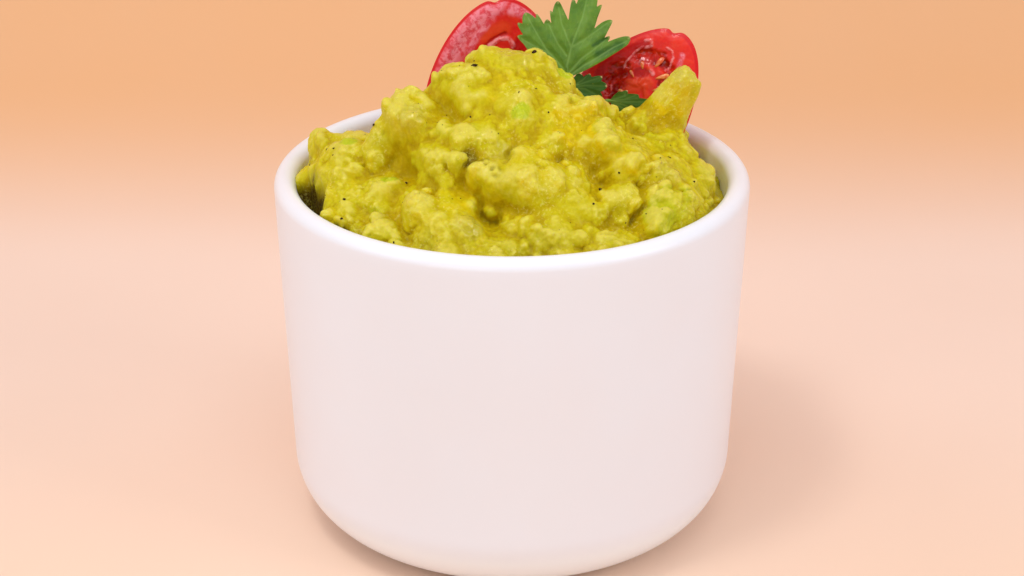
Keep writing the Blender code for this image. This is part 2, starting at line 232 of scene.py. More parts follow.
# Tomato halves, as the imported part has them.
TOMATO_HALF_LENGTH = 20.0
TOMATO_TAPER = 0.15
SIGHT_PITCH = 24.0
FACE_AROUND = 256
FACE_RINGS = 110
EDGE_RINGS = 16
EDGE_SHARE = 0.93  # of the way out to the skin, where the closer edge rings start
BACK_RINGS = 40
TOMATOES = {  # node: (centre, half-width, depth, sideways lean, backward lean, turn)
    "tomato_half_left": ((-3.1, 23.5, 76.1), 14.1, 10.0, 6.0, 14.0, -6.0),
    "tomato_half_right": ((21.4, 12.5, 76.1), 12.2, 10.0, 36.0, 14.0, 12.0),
}
SEEDS = {  # node: (x, y) of the round end, then of the pointed end, and the width
    "tomato_half_left": ((3.6, 6.0, 2.2, 4.2, 1.2), (-3.4, 4.8, -1.8, 2.8, 1.2), (4.0, 1.0, 2.2, 0.0, 1.2)),
    "tomato_half_right": (
        (-0.5, 14.0, -0.8, 11.4, 0.9),
        (-3.6, 11.0, -2.5, 9.8, 0.7),
        (2.4, 11.9, 0.6, 9.7, 0.9),
        (-4.4, 8.2, -3.0, 7.5, 0.6),
        (2.8, 9.1, 1.5, 7.5, 0.7),
        (3.9, 6.8, 2.7, 6.4, 0.9),
        (3.6, 4.3, 2.0, 4.7, 0.8),
        (-4.0, 3.6, -2.6, 4.2, 0.8),
        (-0.8, 0.6, -0.6, 2.6, 1.0),
    ),
}
# Marks on the cut faces: (kind, width, lift, path), in mm across and along the face. A lift below
# 0 is sunk. Jelly is dark and glossy, core is orange, the pale membrane marks are wet membranes with
# a painted highlight along them, the pink glare marks are a pale pink band with dark pits painted
# where the wet wall catches the light, and deep is a darker red.
FACE_MARKS = {
    "tomato_half_left": (
        ("jelly", 2.4, -0.7, ((-3.8, 6.5), (-4.2, 1.0), (-3.4, -6.0))),
        ("jelly", 2.2, -0.7, ((3.6, 8.0), (4.2, 2.0), (3.4, -6.0))),
        ("deep", 2.0, -0.1, ((3.8, 10.6), (5.6, 7.0))),
        ("deep", 0.5, -0.2, ((-4.6, 7.4), (-3.6, 9.4), (-1.9, 11.6), (0.4, 13.0))),
        ("core", 1.7, 0.1, ((0.0, 8.0), (0.0, -8.0))),
        ("core", 1.2, 0.0, ((-3.4, 12.0), (-1.6, 13.6), (0.6, 14.4))),
        ("membrane_and_glint", 0.5, 0.2, ((-4.4, 7.2), (-3.6, 8.4), (-2.6, 10.2), (-0.6, 11.8), (1.2, 12.0), (2.2, 10.6))),
        ("painted_glare", 2.1, 0.05, ((-2.0, 18.6), (-5.4, 15.6), (-8.0, 12.0), (-10.0, 6.8), (-10.8, 2.0))),
        ("painted_glare", 1.2, 0.0, ((1.6, 18.0), (4.4, 17.4), (7.0, 15.0))),
        ("painted_glare", 0.8, 0.05, ((-6.6, 8.6), (-5.4, 11.4), (-3.4, 14.6))),
    ),
    "tomato_half_right": (
        ("jelly", 2.2, -0.6, ((-5.9, 6.8), (-6.0, 4.4), (-4.2, 2.6), (-2.0, 1.4))),
        ("jelly", 1.5, -0.5, ((-4.6, 11.4), (-3.0, 12.6), (-1.0, 13.4), (0.8, 12.8))),
        ("jelly", 1.5, -0.5, ((2.0, 12.6), (3.0, 9.6), (3.4, 5.8))),
        ("jelly", 1.8, -0.9, ((3.4, 4.6), (3.3, 2.6), (2.0, -1.0))),
        ("deep", 1.8, -0.1, ((-8.4, 4.6), (-7.0, 9.6), (-4.8, 13.0))),
        ("deep", 1.0, -0.1, ((-3.0, 8.8), (-1.8, 9.4))),
        ("core", 1.3, 0.2, ((-2.8, 4.0), (-1.4, 6.8), (-0.2, 8.2))),
        ("core", 0.6, 0.15, ((-1.4, 7.0), (-3.4, 6.2))),
        ("core", 0.5, 0.15, ((-1.2, 7.6), (-1.6, 10.6))),
        ("core", 0.5, 0.15, ((-0.2, 7.4), (2.2, 5.2))),
        ("membrane_and_glint", 0.2, 0.15, ((-1.2, 15.9), (0.1, 16.0), (1.1, 15.1), (1.5, 13.2), (1.1, 12.2))),
        ("membrane_and_glint", 0.2, 0.15, ((-5.2, 13.2), (-5.8, 11.6), (-5.9, 10.2), (-6.2, 8.8), (-5.8, 7.8))),
        ("membrane_and_glint", 0.3, 0.1, ((-5.4, 14.6), (-4.4, 15.2), (-3.9, 14.3), (-4.6, 13.5))),
        ("membrane_and_glint", 0.4, 0.2, ((-1.0, 10.5), (-0.3, 10.2))),
        ("membrane_and_glint", 0.2, 0.15, ((3.2, 9.0), (3.9, 7.6), (4.0, 6.0))),
        ("membrane_and_glint", 0.25, 0.2, ((3.0, 2.8), (3.6, 3.3))),
        ("membrane_and_glint", 0.2, 0.2, ((-5.9, 3.6), (-5.2, 2.8))),
        ("painted_glare", 0.5, 0.0, ((2.2, 16.4), (3.8, 12.8), (5.2, 8.0), (5.6, 4.0))),
    ),
}

# Parsley: a leaflet's margin as (degrees from its own axis, reach), with its veins in the same terms.
TERMINAL_MARGIN = (
    (-64.0, 2.0), (-58.0, 6.4), (-55.0, 8.9), (-52.0, 10.6), (-50.0, 12.5), (-45.5, 11.9),
    (-42.0, 14.2), (-39.5, 13.5), (-33.0, 14.9), (-28.0, 12.9), (-25.5, 13.6), (-23.5, 11.3),
    (-19.0, 11.9), (-16.2, 10.9), (-14.3, 13.3), (-12.8, 12.9), (-7.0, 14.8), (-4.0, 13.6),
    (-1.5, 12.2), (1.0, 11.0), (2.0, 13.0), (4.0, 15.2), (7.0, 14.2), (11.5, 17.4), (16.0, 16.6),
    (19.5, 16.9), (22.5, 14.7), (25.5, 15.5), (26.5, 13.0), (28.5, 10.8), (32.0, 12.6),
    (38.0, 14.0), (40.5, 12.0), (42.5, 10.5), (45.5, 11.4), (48.0, 10.4), (51.5, 12.4),
    (57.0, 14.3), (61.0, 13.2), (62.5, 9.0), (65.0, 3.0),
)
TERMINAL_VEINS = (
    ((0.0, 0.0), (-6.0, 2.0), (7.0, 6.0), (11.0, 8.6), (14.0, 12.0), (14.0, 16.0)),
    ((7.0, 6.0), (0.0, 7.6), (-6.0, 10.4), (-7.0, 13.6)),
    ((0.0, 0.6), (-24.0, 2.4), (-36.0, 7.0), (-34.0, 11.2), (-33.0, 13.8)),
    ((-36.0, 6.0), (-46.0, 9.0), (-49.0, 11.6)),
    ((-2.0, 4.4), (-16.0, 7.0), (-19.0, 10.8)),
    ((7.0, 6.0), (24.0, 8.1), (29.0, 9.6), (36.0, 13.0)),
    ((20.0, 1.4), (35.0, 4.7), (42.0, 7.2), (45.0, 10.4)),
    ((0.0, 0.3), (51.0, 3.9), (55.0, 7.0), (56.0, 10.4), (58.0, 13.4)),
)
SIDE_MARGIN = (
    (-62.0, 1.2), (-46.0, 2.6), (-30.0, 3.2), (-18.0, 3.0), (-12.0, 4.4), (-3.0, 4.3), (5.0, 6.2),
    (12.0, 5.8), (22.0, 6.8), (33.0, 5.6), (43.0, 6.2), (54.0, 4.4), (66.0, 2.2),
)
LOWER_MARGIN = (
    (-60.0, 1.2), (-52.0, 2.6), (-44.0, 2.8), (-36.0, 3.9), (-27.0, 3.7), (-18.0, 5.6),
    (-11.0, 5.7), (-6.0, 7.7), (3.0, 7.0), (13.0, 7.9), (22.0, 6.6), (31.0, 7.4), (40.0, 5.2),
    (52.0, 3.8), (62.0, 1.6),
)


def bent_veins(bend_reach, ends):
    """Veins from the stalk, each bent once on its way out to its end at (degrees, reach)."""
    return tuple(((0.0, 0.0), (0.7 * angle, bend_reach), (angle, reach)) for angle, reach in ends)


SIDE_VEINS = bent_veins(2.6, ((-14, 4.0), (5, 5.8), (22, 6.2), (43, 5.8)))
LOWER_VEINS = bent_veins(3.0, ((-37, 3.6), (-18, 5.2), (-4, 7.2), (14, 7.4), (32, 6.8)))
LEAFLETS = (  # margin, veins, base, heading, backward lean, curl, shade
    (TERMINAL_MARGIN, TERMINAL_VEINS, (10.6, 10.5, 84.7), 0.0, 17.0, 1.0, 0.0),
    (SIDE_MARGIN, SIDE_VEINS, (11.4, 10.0, 83.1), 66.0, 12.0, 0.5, 0.8),
    (LOWER_MARGIN, LOWER_VEINS, (18.7, 8.8, 80.8), 96.0, 12.0, 0.5, 0.6),
)
LEAF_FOLDS = (  # a path in (degrees, reach) and a width, where the large leaflet is folded, with painted shade along the fold
    (((52.0, 7.6), (55.5, 9.6), (58.0, 12.0)), 0.8),
    (((38.0, 8.0), (42.0, 9.6), (44.0, 10.8)), 0.35),
)
LARGE_LEAF_GRID = (300, 46)  # columns and rows
SMALL_LEAF_GRID = (190, 34)
STALK_AROUND = 14
STALK_FOOT = (8.5, 8.5, 64.0)
STALK_NODE = (9.6, 9.4, 77.0)

# The camera looks at the bowl from the front and above.
CAMERA_DISTANCE = 420.0
CAMERA_PITCH = 24.06
CAMERA_TARGET = (0.0, 0.0, 45.5)
CAMERA_LENS = 76.0
SENSOR_WIDTH = 36.0

# The backing paper: a flat floor, a bend and a straight rise.
FLOOR_FRONT = -700.0
BEND_START = 150.0
BEND_DEGREES = 84.0
RISE_LENGTH = 900.0
PAPER_HALF_WIDTH = 900.0
SKY_COLOUR = (0.95, 0.96, 1.0, 1.0)
SKY_STRENGTH = 0.55

LAMPS = (  # name, place, target, size, power in watts, colour
    ("top_softbox", (-40, -210, 600), (0, 0, 60), (460, 360), 0.92, (0.97, 0.98, 1.0)),
    ("key_lamp", (-140, -170, 555), (0, 0, 70), (90, 90), 0.48, (1.0, 0.99, 0.96)),
    ("high_softbox", (-330, 90, 480), (10, 0, 70), (260, 260), 0.22, (0.98, 0.98, 1.0)),
    ("left_softbox", (-600, -300, 400), (0, 0, 50), (360, 320), 0.72, (0.96, 0.97, 1.0)),
    ("right_softbox", (600, -300, 400), (0, 0, 50), (360, 320), 1.55, (0.96, 0.97, 1.0)),
    ("front_fill", (-260, -560, 130), (0, 0, 70), (260, 200), 0.3, (1.0, 0.98, 0.98)),
)


# ---------------------------------------------------------------- numbers and surfaces


def smooth_step(low, high, value):
    """0 below low, 1 above high, and a cubic ease between them."""
    t = np.clip((value - low) / (high - low), 0.0, 1.0)
    return t * t * (3.0 - 2.0 * t)


def gradient_noise(points, seed):
    """Noise in about -1 to 1: each cell corner has a random slope, and the slopes blend by a quintic ease."""
    rng = np.random.default_rng(seed)
    slopes = rng.normal(size=(256, 3))
    slopes /= np.linalg.norm(slopes, axis=1, keepdims=True)
    shuffle = rng.permutation(256)
    cell = np.floor(points).astype(np.int64)
    inside = points - cell
    ease = inside**3 * (inside * (inside * 6.0 - 15.0) + 10.0)
    total = np.zeros(len(points))
    for corner in np.ndindex(2, 2, 2):
        at = (cell + corner) & 255
        index = shuffle[(shuffle[(shuffle[at[:, 0]] + at[:, 1]) & 255] + at[:, 2]) & 255]
        away = inside - corner
        weight = np.prod(np.where(corner, ease, 1.0 - ease), axis=1)
        total += weight * np.einsum("ij,ij->i", slopes[index], away)
    return total * 1.6


def layered_noise(points, size, layers, seed, billow=False):
    """Layers of gradient noise, each of half the last one's size and height.

    Billow folds each layer into round humps.
    """
    total = np.zeros(len(points))
    height = 1.0
    reach = 0.0
    for layer in range(layers):
        value = gradient_noise(points / size + 17.3 * layer, seed + layer)
        total += height * (2.6 * np.abs(value) - 0.7 if billow else value)
        reach += height
        height *= 0.5
        size *= 0.5
    return total / reach


def noise_vectors(points, size, seed):
    """Three independent noises as a vector field."""
    return np.stack([gradient_noise(points / size, seed + 31 * axis) for axis in range(3)], axis=1)


def unit(vectors):
    return vectors / np.linalg.norm(vectors, axis=-1, keepdims=True)


def path_distance(x, y, path):
    """Distance to a path of straight runs, and the side of the nearest run: 1 is left, -1 is right."""
    best, side = np.full(np.shape(x), np.inf), np.ones(np.shape(x))
    for (ax, ay), (bx, by) in zip(path, path[1:]):
        dx, dy = bx - ax, by - ay
        share = np.clip(((x - ax) * dx + (y - ay) * dy) / (dx * dx + dy * dy), 0.0, 1.0)
        ox, oy = x - ax - share * dx, y - ay - share * dy
        distance = np.hypot(ox, oy)
        side = np.where(distance < best, np.where(dx * oy - dy * ox < 0, -1.0, 1.0), side)
        best = np.minimum(distance, best)
    return best, side


def polar_path(path):
    """(degrees, reach) pairs as (x, y), with 0 degrees along +Y."""
    return [(reach * math.sin(math.radians(a)), reach * math.cos(math.radians(a))) for a, reach in path]


def box_blur(values, reach):
    """The mean of a square of 2 reach + 1 cells on a grid, with the edges repeated."""
    size = 2 * reach + 1
    for axis in (0, 1):
        pad = [(0, 0), (0, 0)]
        pad[axis] = (reach + 1, reach)
        sums = np.cumsum(np.pad(values, pad, mode="edge"), axis=axis)
        ahead = np.take(sums, range(size, sums.shape[axis]), axis=axis)
        behind = np.take(sums, range(0, sums.shape[axis] - size), axis=axis)
        values = (ahead - behind) / size
    return values


def grid_normals(points):
    """Unit normals of a (rows, columns, 3) grid, from the cross product of its two directions."""
    return unit(np.cross(np.gradient(points, axis=1), np.gradient(points, axis=0)) + 1e-12)


def grid_quads(index, wrap=False):
    """Four-sided faces between neighbours of a (rows, columns) array of point numbers."""
    right = np.roll(index, -1, axis=1) if wrap else index[:, 1:]
    left = index if wrap else index[:, :-1]
    return np.stack([left[:-1], right[:-1], right[1:], left[1:]], axis=-1).reshape(-1, 4)


def fan(centre, ring):
    """Triangles between one point and a closed ring of point numbers."""
    return np.stack([np.full(len(ring), centre), np.roll(ring, -1), ring], axis=-1)


def edge_loop(index):
    """The numbers round the edge of a (rows, columns) grid, in order, each once."""
    return np.concatenate([index[0, :-1], index[:-1, -1], index[-1, :0:-1], index[:0:-1, 0]])


def shell(rings):
    """A closed surface from a (rings, around, 3) grid whose first and last rings are single points.

    Returns its points and faces, in a triangle fan at each end and quads between.
    """
    count, around = rings.shape[:2]
    body = rings[1:-1].reshape(-1, 3)
    points = np.concatenate([rings[:1, 0], body, rings[-1:, 0]])
    index = 1 + np.arange((count - 2) * around).reshape(count - 2, around)
    faces = [fan(0, index[0][::-1]), grid_quads(index, wrap=True), fan(len(points) - 1, index[-1])]
    faces[1] = faces[1][:, ::-1]
    return points, faces


def merge_shells(shells):
    """Several (points, faces) as one, with each one's point numbers moved on."""
    points, triangles, quads, start = [], [], [], 0
    for own_points, own_faces in shells:
        points.append(own_points)
        for faces in own_faces:
            (triangles if faces.shape[1] == 3 else quads).append(faces + start)
        start += len(own_points)
    return np.concatenate(points), [np.concatenate(kind) for kind in (triangles, quads) if kind]


def enclosed_volume(points, faces):
    """Signed volume, from the fan of each face to the origin."""
    total = 0.0
    for own in faces:
        for k in range(1, own.shape[1] - 1):
            a, b, c = points[own[:, 0]], points[own[:, k]], points[own[:, k + 1]]
            total += np.einsum("ij,ij->", a, np.cross(b, c)) / 6.0
    return total


def new_piece(name, points, faces, material, replaces=None, attributes=None):
    """A smooth mesh object from points in millimetres, facing outwards, riding on the part's one body."""
    if enclosed_volume(points, faces) < 0:
        faces = [own[:, ::-1] for own in faces]
    corners = np.concatenate([own.ravel() for own in faces]).astype(np.int32)
    sizes = np.concatenate([np.full(len(own), own.shape[1], np.int32) for own in faces])
    starts = np.concatenate([[0], np.cumsum(sizes)[:-1]]).astype(np.int32)
    mesh = bpy.data.meshes.new(name)
    mesh.vertices.add(len(points))
    mesh.vertices.foreach_set("co", (points * MM).astype(np.float32).ravel())
    mesh.loops.add(len(corners))
    mesh.loops.foreach_set("vertex_index", corners)
    mesh.polygons.add(len(sizes))
    mesh.polygons.foreach_set("loop_start", starts)
    mesh.polygons.foreach_set("use_smooth", np.ones(len(sizes), bool))
    mesh.update(calc_edges=True)
    for key, values in (attributes or {}).items():
        layer = mesh.attributes.new(key, "FLOAT", "POINT")
        layer.data.foreach_set("value", values.astype(np.float32))
    mesh.materials.append(material)
    piece = bpy.data.objects.new(name, mesh)
    bpy.context.scene.collection.objects.link(piece)
    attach(piece, "root")
    if replaces:
        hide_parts(replaces)
    return piece


# ---------------------------------------------------------------- materials


class NodeBench:
    """A material's node tree, with short ways to add to it."""

    def __init__(self, name):
        self.material = bpy.data.materials.new(name)
        self.material.use_nodes = True
        self.tree = self.material.node_tree
        self.shader = self.tree.nodes["Principled BSDF"]

    def put(self, socket, value):
        if isinstance(value, bpy.types.NodeSocket):
            self.tree.links.new(value, socket)
        elif isinstance(value, tuple) and len(value) == 3 and socket.type == "RGBA":
            socket.default_value = (*value, 1.0)
        else:
            socket.default_value = value

    def node(self, kind, inputs=None, **settings):
        made = self.tree.nodes.new(kind)
        for key, value in settings.items():
            setattr(made, key, value)
        for key, value in (inputs or {}).items():
            self.put(made.inputs[key], value)
        return made

    def place(self):
        """Object coordinates, in metres."""
        return self.node("ShaderNodeTexCoord").outputs["Object"]

    def attribute(self, name):
        return self.node("ShaderNodeAttribute", attribute_name=name).outputs["Fac"]

    def noise(self, size, detail=3.0, roughness=0.5, distortion=0.0):
        """Fractal noise whose features are about size millimetres across."""
        inputs = {
            "Vector": self.place(),
            "Scale": 1.0 / (size * MM),
            "Detail": detail,
            "Roughness": roughness,
            "Distortion": distortion,
        }
        return self.node("ShaderNodeTexNoise", inputs).outputs["Fac"]

    def cells(self, size):
        """Cells about size millimetres across, with the distance to each middle and a random colour."""
        return self.node("ShaderNodeTexVoronoi", {"Vector": self.place(), "Scale": 1.0 / (size * MM)})

    def ramp(self, value, low, high, out_low=0.0, out_high=1.0):
        """value eased from low..high to out_low..out_high."""
        inputs = {
            "Value": value,
            "From Min": low,
            "From Max": high,
            "To Min": out_low,
            "To Max": out_high,
        }
        mapped = self.node("ShaderNodeMapRange", inputs, interpolation_type="SMOOTHSTEP")
        return mapped.outputs["Result"]

    def maths(self, operation, first, second=0.0):
        made = self.node("ShaderNodeMath", operation=operation)
        self.put(made.inputs[0], first)
        self.put(made.inputs[1], second)
        return made.outputs[0]

    def times(self, first, second):
        return self.maths("MULTIPLY", first, second)

    def plus(self, first, second):
        return self.maths("ADD", first, second)

    def mix(self, share, first, second):
        made = self.node("ShaderNodeMix", data_type="RGBA")
        self.put(made.inputs[0], share)
        self.put(made.inputs[6], first)
        self.put(made.inputs[7], second)
        return made.outputs[2]

    def bump(self, height, distance, strength=1.0, under=None):
        """Relief of distance millimetres."""
        inputs = {"Height": height, "Distance": distance * MM, "Strength": strength}
        if under:
            inputs["Normal"] = under
        return self.node("ShaderNodeBump", inputs).outputs["Normal"]

    def finish(self, **inputs):
        """Sets the shader's sockets, written as Base_Color for "Base Color"."""
        for key, value in inputs.items():
            self.put(self.shader.inputs[key.replace("_", " ")], value)
        return self.material

    def clear_from_behind(self):
        """The shader on the face's front, and nothing on its back."""
        clear = self.node("ShaderNodeBsdfTransparent").outputs["BSDF"]
        back = self.node("ShaderNodeNewGeometry").outputs["Backfacing"]
        both = self.node("ShaderNodeMixShader", {0: back, 1: self.shader.outputs["BSDF"], 2: clear})
        self.put(self.tree.nodes["Material Output"].inputs["Surface"], both.outputs["Shader"])
        return self.material


def glaze_material(colour):
    """White glaze: a trace of tone, a few faint iron specks and a slightly rippled satin gloss. Inside the
    bowl it is painted lighter and bluer, as painted light on the inner wall.
    """
    bench = NodeBench("white_glaze")
    tone = bench.ramp(bench.noise(26.0, 2.0), 0.3, 0.7)
    warm = tuple(channel * share for channel, share in zip(colour, (1.0, 0.985, 0.975)))
    base = bench.mix(tone, tuple(colour), warm)
    place = bench.node("ShaderNodeSeparateXYZ", {"Vector": bench.place()}).outputs
    squares = (bench.maths("POWER", place[axis], 2.0) for axis in (0, 1))
    reach = bench.maths("SQRT", bench.plus(*squares))
    # Painted light: inside the bowl the glaze is lighter and bluer, standing in for light on the inner wall.
    painted_inner_light = tuple(min(channel * share, 0.99) for channel, share in zip(colour, (1.04, 1.07, 1.08)))
    base = bench.mix(bench.ramp(reach, 42.0 * MM, 43.2 * MM, 1.0, 0.0), base, painted_inner_light)
    cells = bench.cells(6.5)
    speck = bench.ramp(cells.outputs["Distance"], 0.03, 0.055, 1.0, 0.0)
    chance = bench.node("ShaderNodeSeparateColor", {"Color": cells.outputs["Color"]}).outputs[0]
    rare = bench.ramp(chance, 0.86, 0.9)
    base = bench.mix(bench.times(bench.times(speck, rare), 0.35), base, (0.42, 0.33, 0.3))
    ripple = bench.bump(bench.noise(9.0, 2.0), 0.02, 0.5)
    pores = bench.bump(bench.noise(0.7, 2.0), 0.006, 0.35, ripple)
    return bench.finish(
        Base_Color=base,
        Roughness=bench.ramp(bench.noise(14.0, 3.0), 0.3, 0.7, 0.3, 0.38),
        Normal=pores,
        IOR=1.45,
        Coat_Weight=0.1,
        Coat_Roughness=0.12,
        Coat_IOR=1.5,
    )


def mash_material(colour):
    """Mashed avocado: green to orange by its hue, with a painted highlight on humps that face up, painted
    shade in creases and hollows, painted glints, and moist.
    """
    bench = NodeBench("avocado_mash")
    hue = bench.attribute("hue")
    relief = bench.attribute("relief")
    facing = bench.attribute("facing")
    wet = bench.attribute("wet")
    drift = bench.times(bench.maths("SUBTRACT", bench.noise(4.0, 3.0), 0.5), 1.5)
    hue = bench.plus(hue, drift)
    base = bench.mix(bench.ramp(hue, 0.0, -0.9), tuple(colour), (0.46, 0.46, 0.008))
    base = bench.mix(bench.ramp(hue, 0.1, 1.0), base, (0.67, 0.47, 0.0))
    # Painted highlight: humps that face upwards are paler.
    painted_hump_highlight = bench.times(bench.ramp(relief, 0.0, 0.7), bench.ramp(facing, 0.1, 0.8))
    base = bench.mix(bench.times(painted_hump_highlight, 0.75), base, (0.65, 0.56, 0.09))
    mottle = bench.times(bench.ramp(bench.noise(1.5, 3.0, 0.6), 0.45, 0.68), bench.ramp(relief, -0.2, 0.4))
    base = bench.mix(bench.times(mottle, 0.36), base, (0.7, 0.62, 0.09))
    # Painted shade: creases, and the gap where the mash stands off the wall, are darker and browner.
    crease = bench.ramp(relief, 0.0, -0.8, 0.0, 0.8)
    base = bench.mix(crease, base, (0.47, 0.31, 0.0))
    base = bench.mix(bench.times(wet, 0.45), base, (0.46, 0.38, 0.02))
    fresh = bench.plus(bench.attribute("fresh"), bench.times(drift, 0.25))
    base = bench.mix(bench.ramp(fresh, 0.25, 0.85, 0.0, 0.85), base, (0.42, 0.5, 0.006))
    # Painted shade: near black brown in the gap at the wall, along the deepest crease and faintly at the
    # front lip, except on humps.
    painted_shade = bench.times(bench.attribute("painted_shade"), bench.ramp(relief, 0.7, -0.1))
    base = bench.mix(bench.times(painted_shade, 0.97), base, (0.06, 0.021, 0.003))
    grain = bench.noise(0.5, 3.0, 0.6)
    base = bench.mix(bench.ramp(grain, 0.4, 0.7, 0.0, 0.18), base, (0.82, 0.73, 0.04))
    # Painted glints: sparse pale specks in the base colour, in patches, standing for specular glints.
    painted_glint_zone = bench.ramp(bench.noise(7.0, 2.0), 0.45, 0.6, 0.0, 0.34)
    painted_glint = bench.times(bench.ramp(bench.noise(0.6, 2.0, 0.6), 0.54, 0.66), painted_glint_zone)
    base = bench.mix(painted_glint, base, (0.86, 0.8, 0.22))
    fibres = bench.ramp(bench.noise(1.4, 4.0, 0.6, 1.0), 0.58, 0.74, 0.0, 0.22)
    base = bench.mix(fibres, base, (0.5, 0.4, 0.01))
    soft = bench.bump(bench.noise(1.2, 3.0, 0.55), 0.14, 0.7)
    fine = bench.bump(grain, 0.09, 0.9, soft)
    shine = bench.ramp(bench.noise(2.6, 3.0), 0.45, 0.65, 0.0, 0.16)
    rough = bench.maths("SUBTRACT", 0.5, bench.plus(shine, bench.times(wet, 0.2)))
    return bench.finish(
        Base_Color=base,
        Roughness=rough,
        Normal=fine,
        IOR=1.36,
        Specular_IOR_Level=0.28,
        Specular_Tint=(1.0, 0.9, 0.25),
        Subsurface_Weight=0.5,
        Subsurface_Radius=(1.0, 0.75, 0.08),
        Subsurface_Scale=0.0025,
        Coat_Weight=bench.plus(bench.ramp(relief, -0.2, 0.6, 0.12, 0.35), bench.times(wet, 0.55)),
        Coat_Roughness=0.1,
        Coat_IOR=1.36,
    )


def tomato_material(flesh, skin):
    """A cut tomato: skin, red flesh with a pale pink painted glare along its wall, an orange core, dark jelly
    and pale membranes with a painted highlight, each by a mask.
    """
    bench = NodeBench("tomato_flesh")
    mottle = bench.noise(2.2, 4.0, 0.6, 0.6)
    streaks = bench.noise(1.3, 4.0, 0.62, 0.4)
    base = bench.mix(bench.ramp(mottle, 0.4, 0.7, 0.0, 0.7), tuple(flesh), (0.8, 0.045, 0.016))
    base = bench.mix(bench.ramp(streaks, 0.56, 0.75, 0.0, 0.25), base, (0.8, 0.13, 0.08))
    base = bench.mix(bench.times(bench.attribute("core"), 0.6), base, (0.72, 0.065, 0.008))
    base = bench.mix(bench.times(bench.attribute("deep"), 0.8), base, (0.45, 0.004, 0.006))
    depths = bench.mix(bench.ramp(mottle, 0.4, 0.62), (0.32, 0.004, 0.002), (0.62, 0.014, 0.005))
    base = bench.mix(bench.attribute("jelly"), base, depths)
    # Painted glare: pale pink bands with dark pits, over a darker pinkish red, painted where the wet cut face
    # catches the light.
    pits = bench.ramp(streaks, 0.38, 0.58, 0.2, 1.0)
    painted_glare = bench.times(bench.attribute("painted_glare"), pits)
    base = bench.mix(bench.times(bench.attribute("painted_glare"), 0.5), base, (0.62, 0.02, 0.06))
    base = bench.mix(bench.times(painted_glare, 0.75), base, (0.92, 0.32, 0.38))
    # Pale wet membranes with a painted highlight along them: pale pink streaks broken by noise, partly
    # standing for glints on the wet jelly.
    broken = bench.ramp(bench.noise(1.1, 3.0, 0.6), 0.38, 0.6, 0.25, 1.0)
    membrane_and_glint = bench.times(bench.attribute("membrane_and_glint"), broken)
    base = bench.mix(bench.times(membrane_and_glint, 0.62), base, (0.92, 0.36, 0.36))
    base = bench.mix(bench.attribute("peel"), base, tuple(skin))
    grain = bench.bump(bench.noise(0.5, 3.0, 0.6), 0.07, 0.5)
    swell = bench.bump(mottle, 0.22, 0.5, grain)
    return bench.finish(
        Base_Color=base,
        Roughness=bench.ramp(bench.attribute("jelly"), 0.0, 1.0, 0.34, 0.12),
        Normal=swell,
        IOR=1.36,
        Specular_IOR_Level=0.32,
        Subsurface_Weight=0.2,
        Subsurface_Radius=(1.0, 0.12, 0.06),
        Subsurface_Scale=0.002,
        Coat_Weight=bench.plus(0.15, bench.times(bench.attribute("jelly"), 0.5)),
        Coat_Roughness=0.06,
        Coat_IOR=1.36,
    )


def seed_material():
    """Tomato seeds: tan and orange under a thin wet jelly."""
    bench = NodeBench("tomato_seed")
    tone = bench.ramp(bench.noise(1.2, 3.0), 0.35, 0.65)
    base = bench.mix(tone, (0.7, 0.09, 0.012), (0.84, 0.33, 0.07))
    return bench.finish(
        Base_Color=base,
        Roughness=0.25,
        Normal=bench.bump(bench.noise(0.3, 2.0), 0.03, 0.5),
        Coat_Weight=0.6,
        Coat_Roughness=0.08,
        Subsurface_Weight=0.2,
        Subsurface_Radius=(1.0, 0.4, 0.15),
        Subsurface_Scale=0.001,
    )


def parsley_material(colour):
    """A parsley leaf: mid green between pale veins, darker with painted shade in its folds, with pale points
    to its teeth.
    """
    bench = NodeBench("parsley_leaf")
    vein = bench.attribute("vein")
    patch = bench.noise(2.6, 3.0, 0.55)
    base = bench.mix(bench.ramp(patch, 0.35, 0.7), tuple(colour), (0.075, 0.17, 0.012))
    # Darker green by the shade attribute: on the small leaflets, and as painted shade along the large
    # leaflet's folds.
    base = bench.mix(bench.attribute("shade"), base, (0.02, 0.085, 0.008))
    spots = bench.ramp(bench.noise(0.8, 2.0), 0.68, 0.75, 0.0, 0.3)
    base = bench.mix(spots, base, (0.3, 0.3, 0.03))
    base = bench.mix(bench.times(vein, 0.55), base, (0.26, 0.42, 0.1))
    base = bench.mix(bench.attribute("tip"), base, (0.75, 0.5, 0.25))
    crinkle = bench.bump(bench.noise(0.9, 3.0, 0.6), 0.08, 0.6)
    return bench.finish(
        Base_Color=base,
        Roughness=bench.ramp(patch, 0.3, 0.7, 0.48, 0.6),
        Normal=crinkle,
        IOR=1.36,
        Subsurface_Weight=0.15,
        Subsurface_Radius=(0.4, 1.0, 0.1),
        Subsurface_Scale=0.0008,
    )


def pepper_material():
    """Cracked black pepper: near black, with brown facets."""
    bench = NodeBench("cracked_pepper")
    base = bench.mix(bench.ramp(bench.noise(0.4, 2.0), 0.4, 0.65), (0.02, 0.01, 0.006), (0.08, 0.04, 0.018))
    return bench.finish(
        Base_Color=base,
        Roughness=0.8,
        Normal=bench.bump(bench.noise(0.15, 2.0), 0.03, 0.6),
        Specular_IOR_Level=0.05,
    )


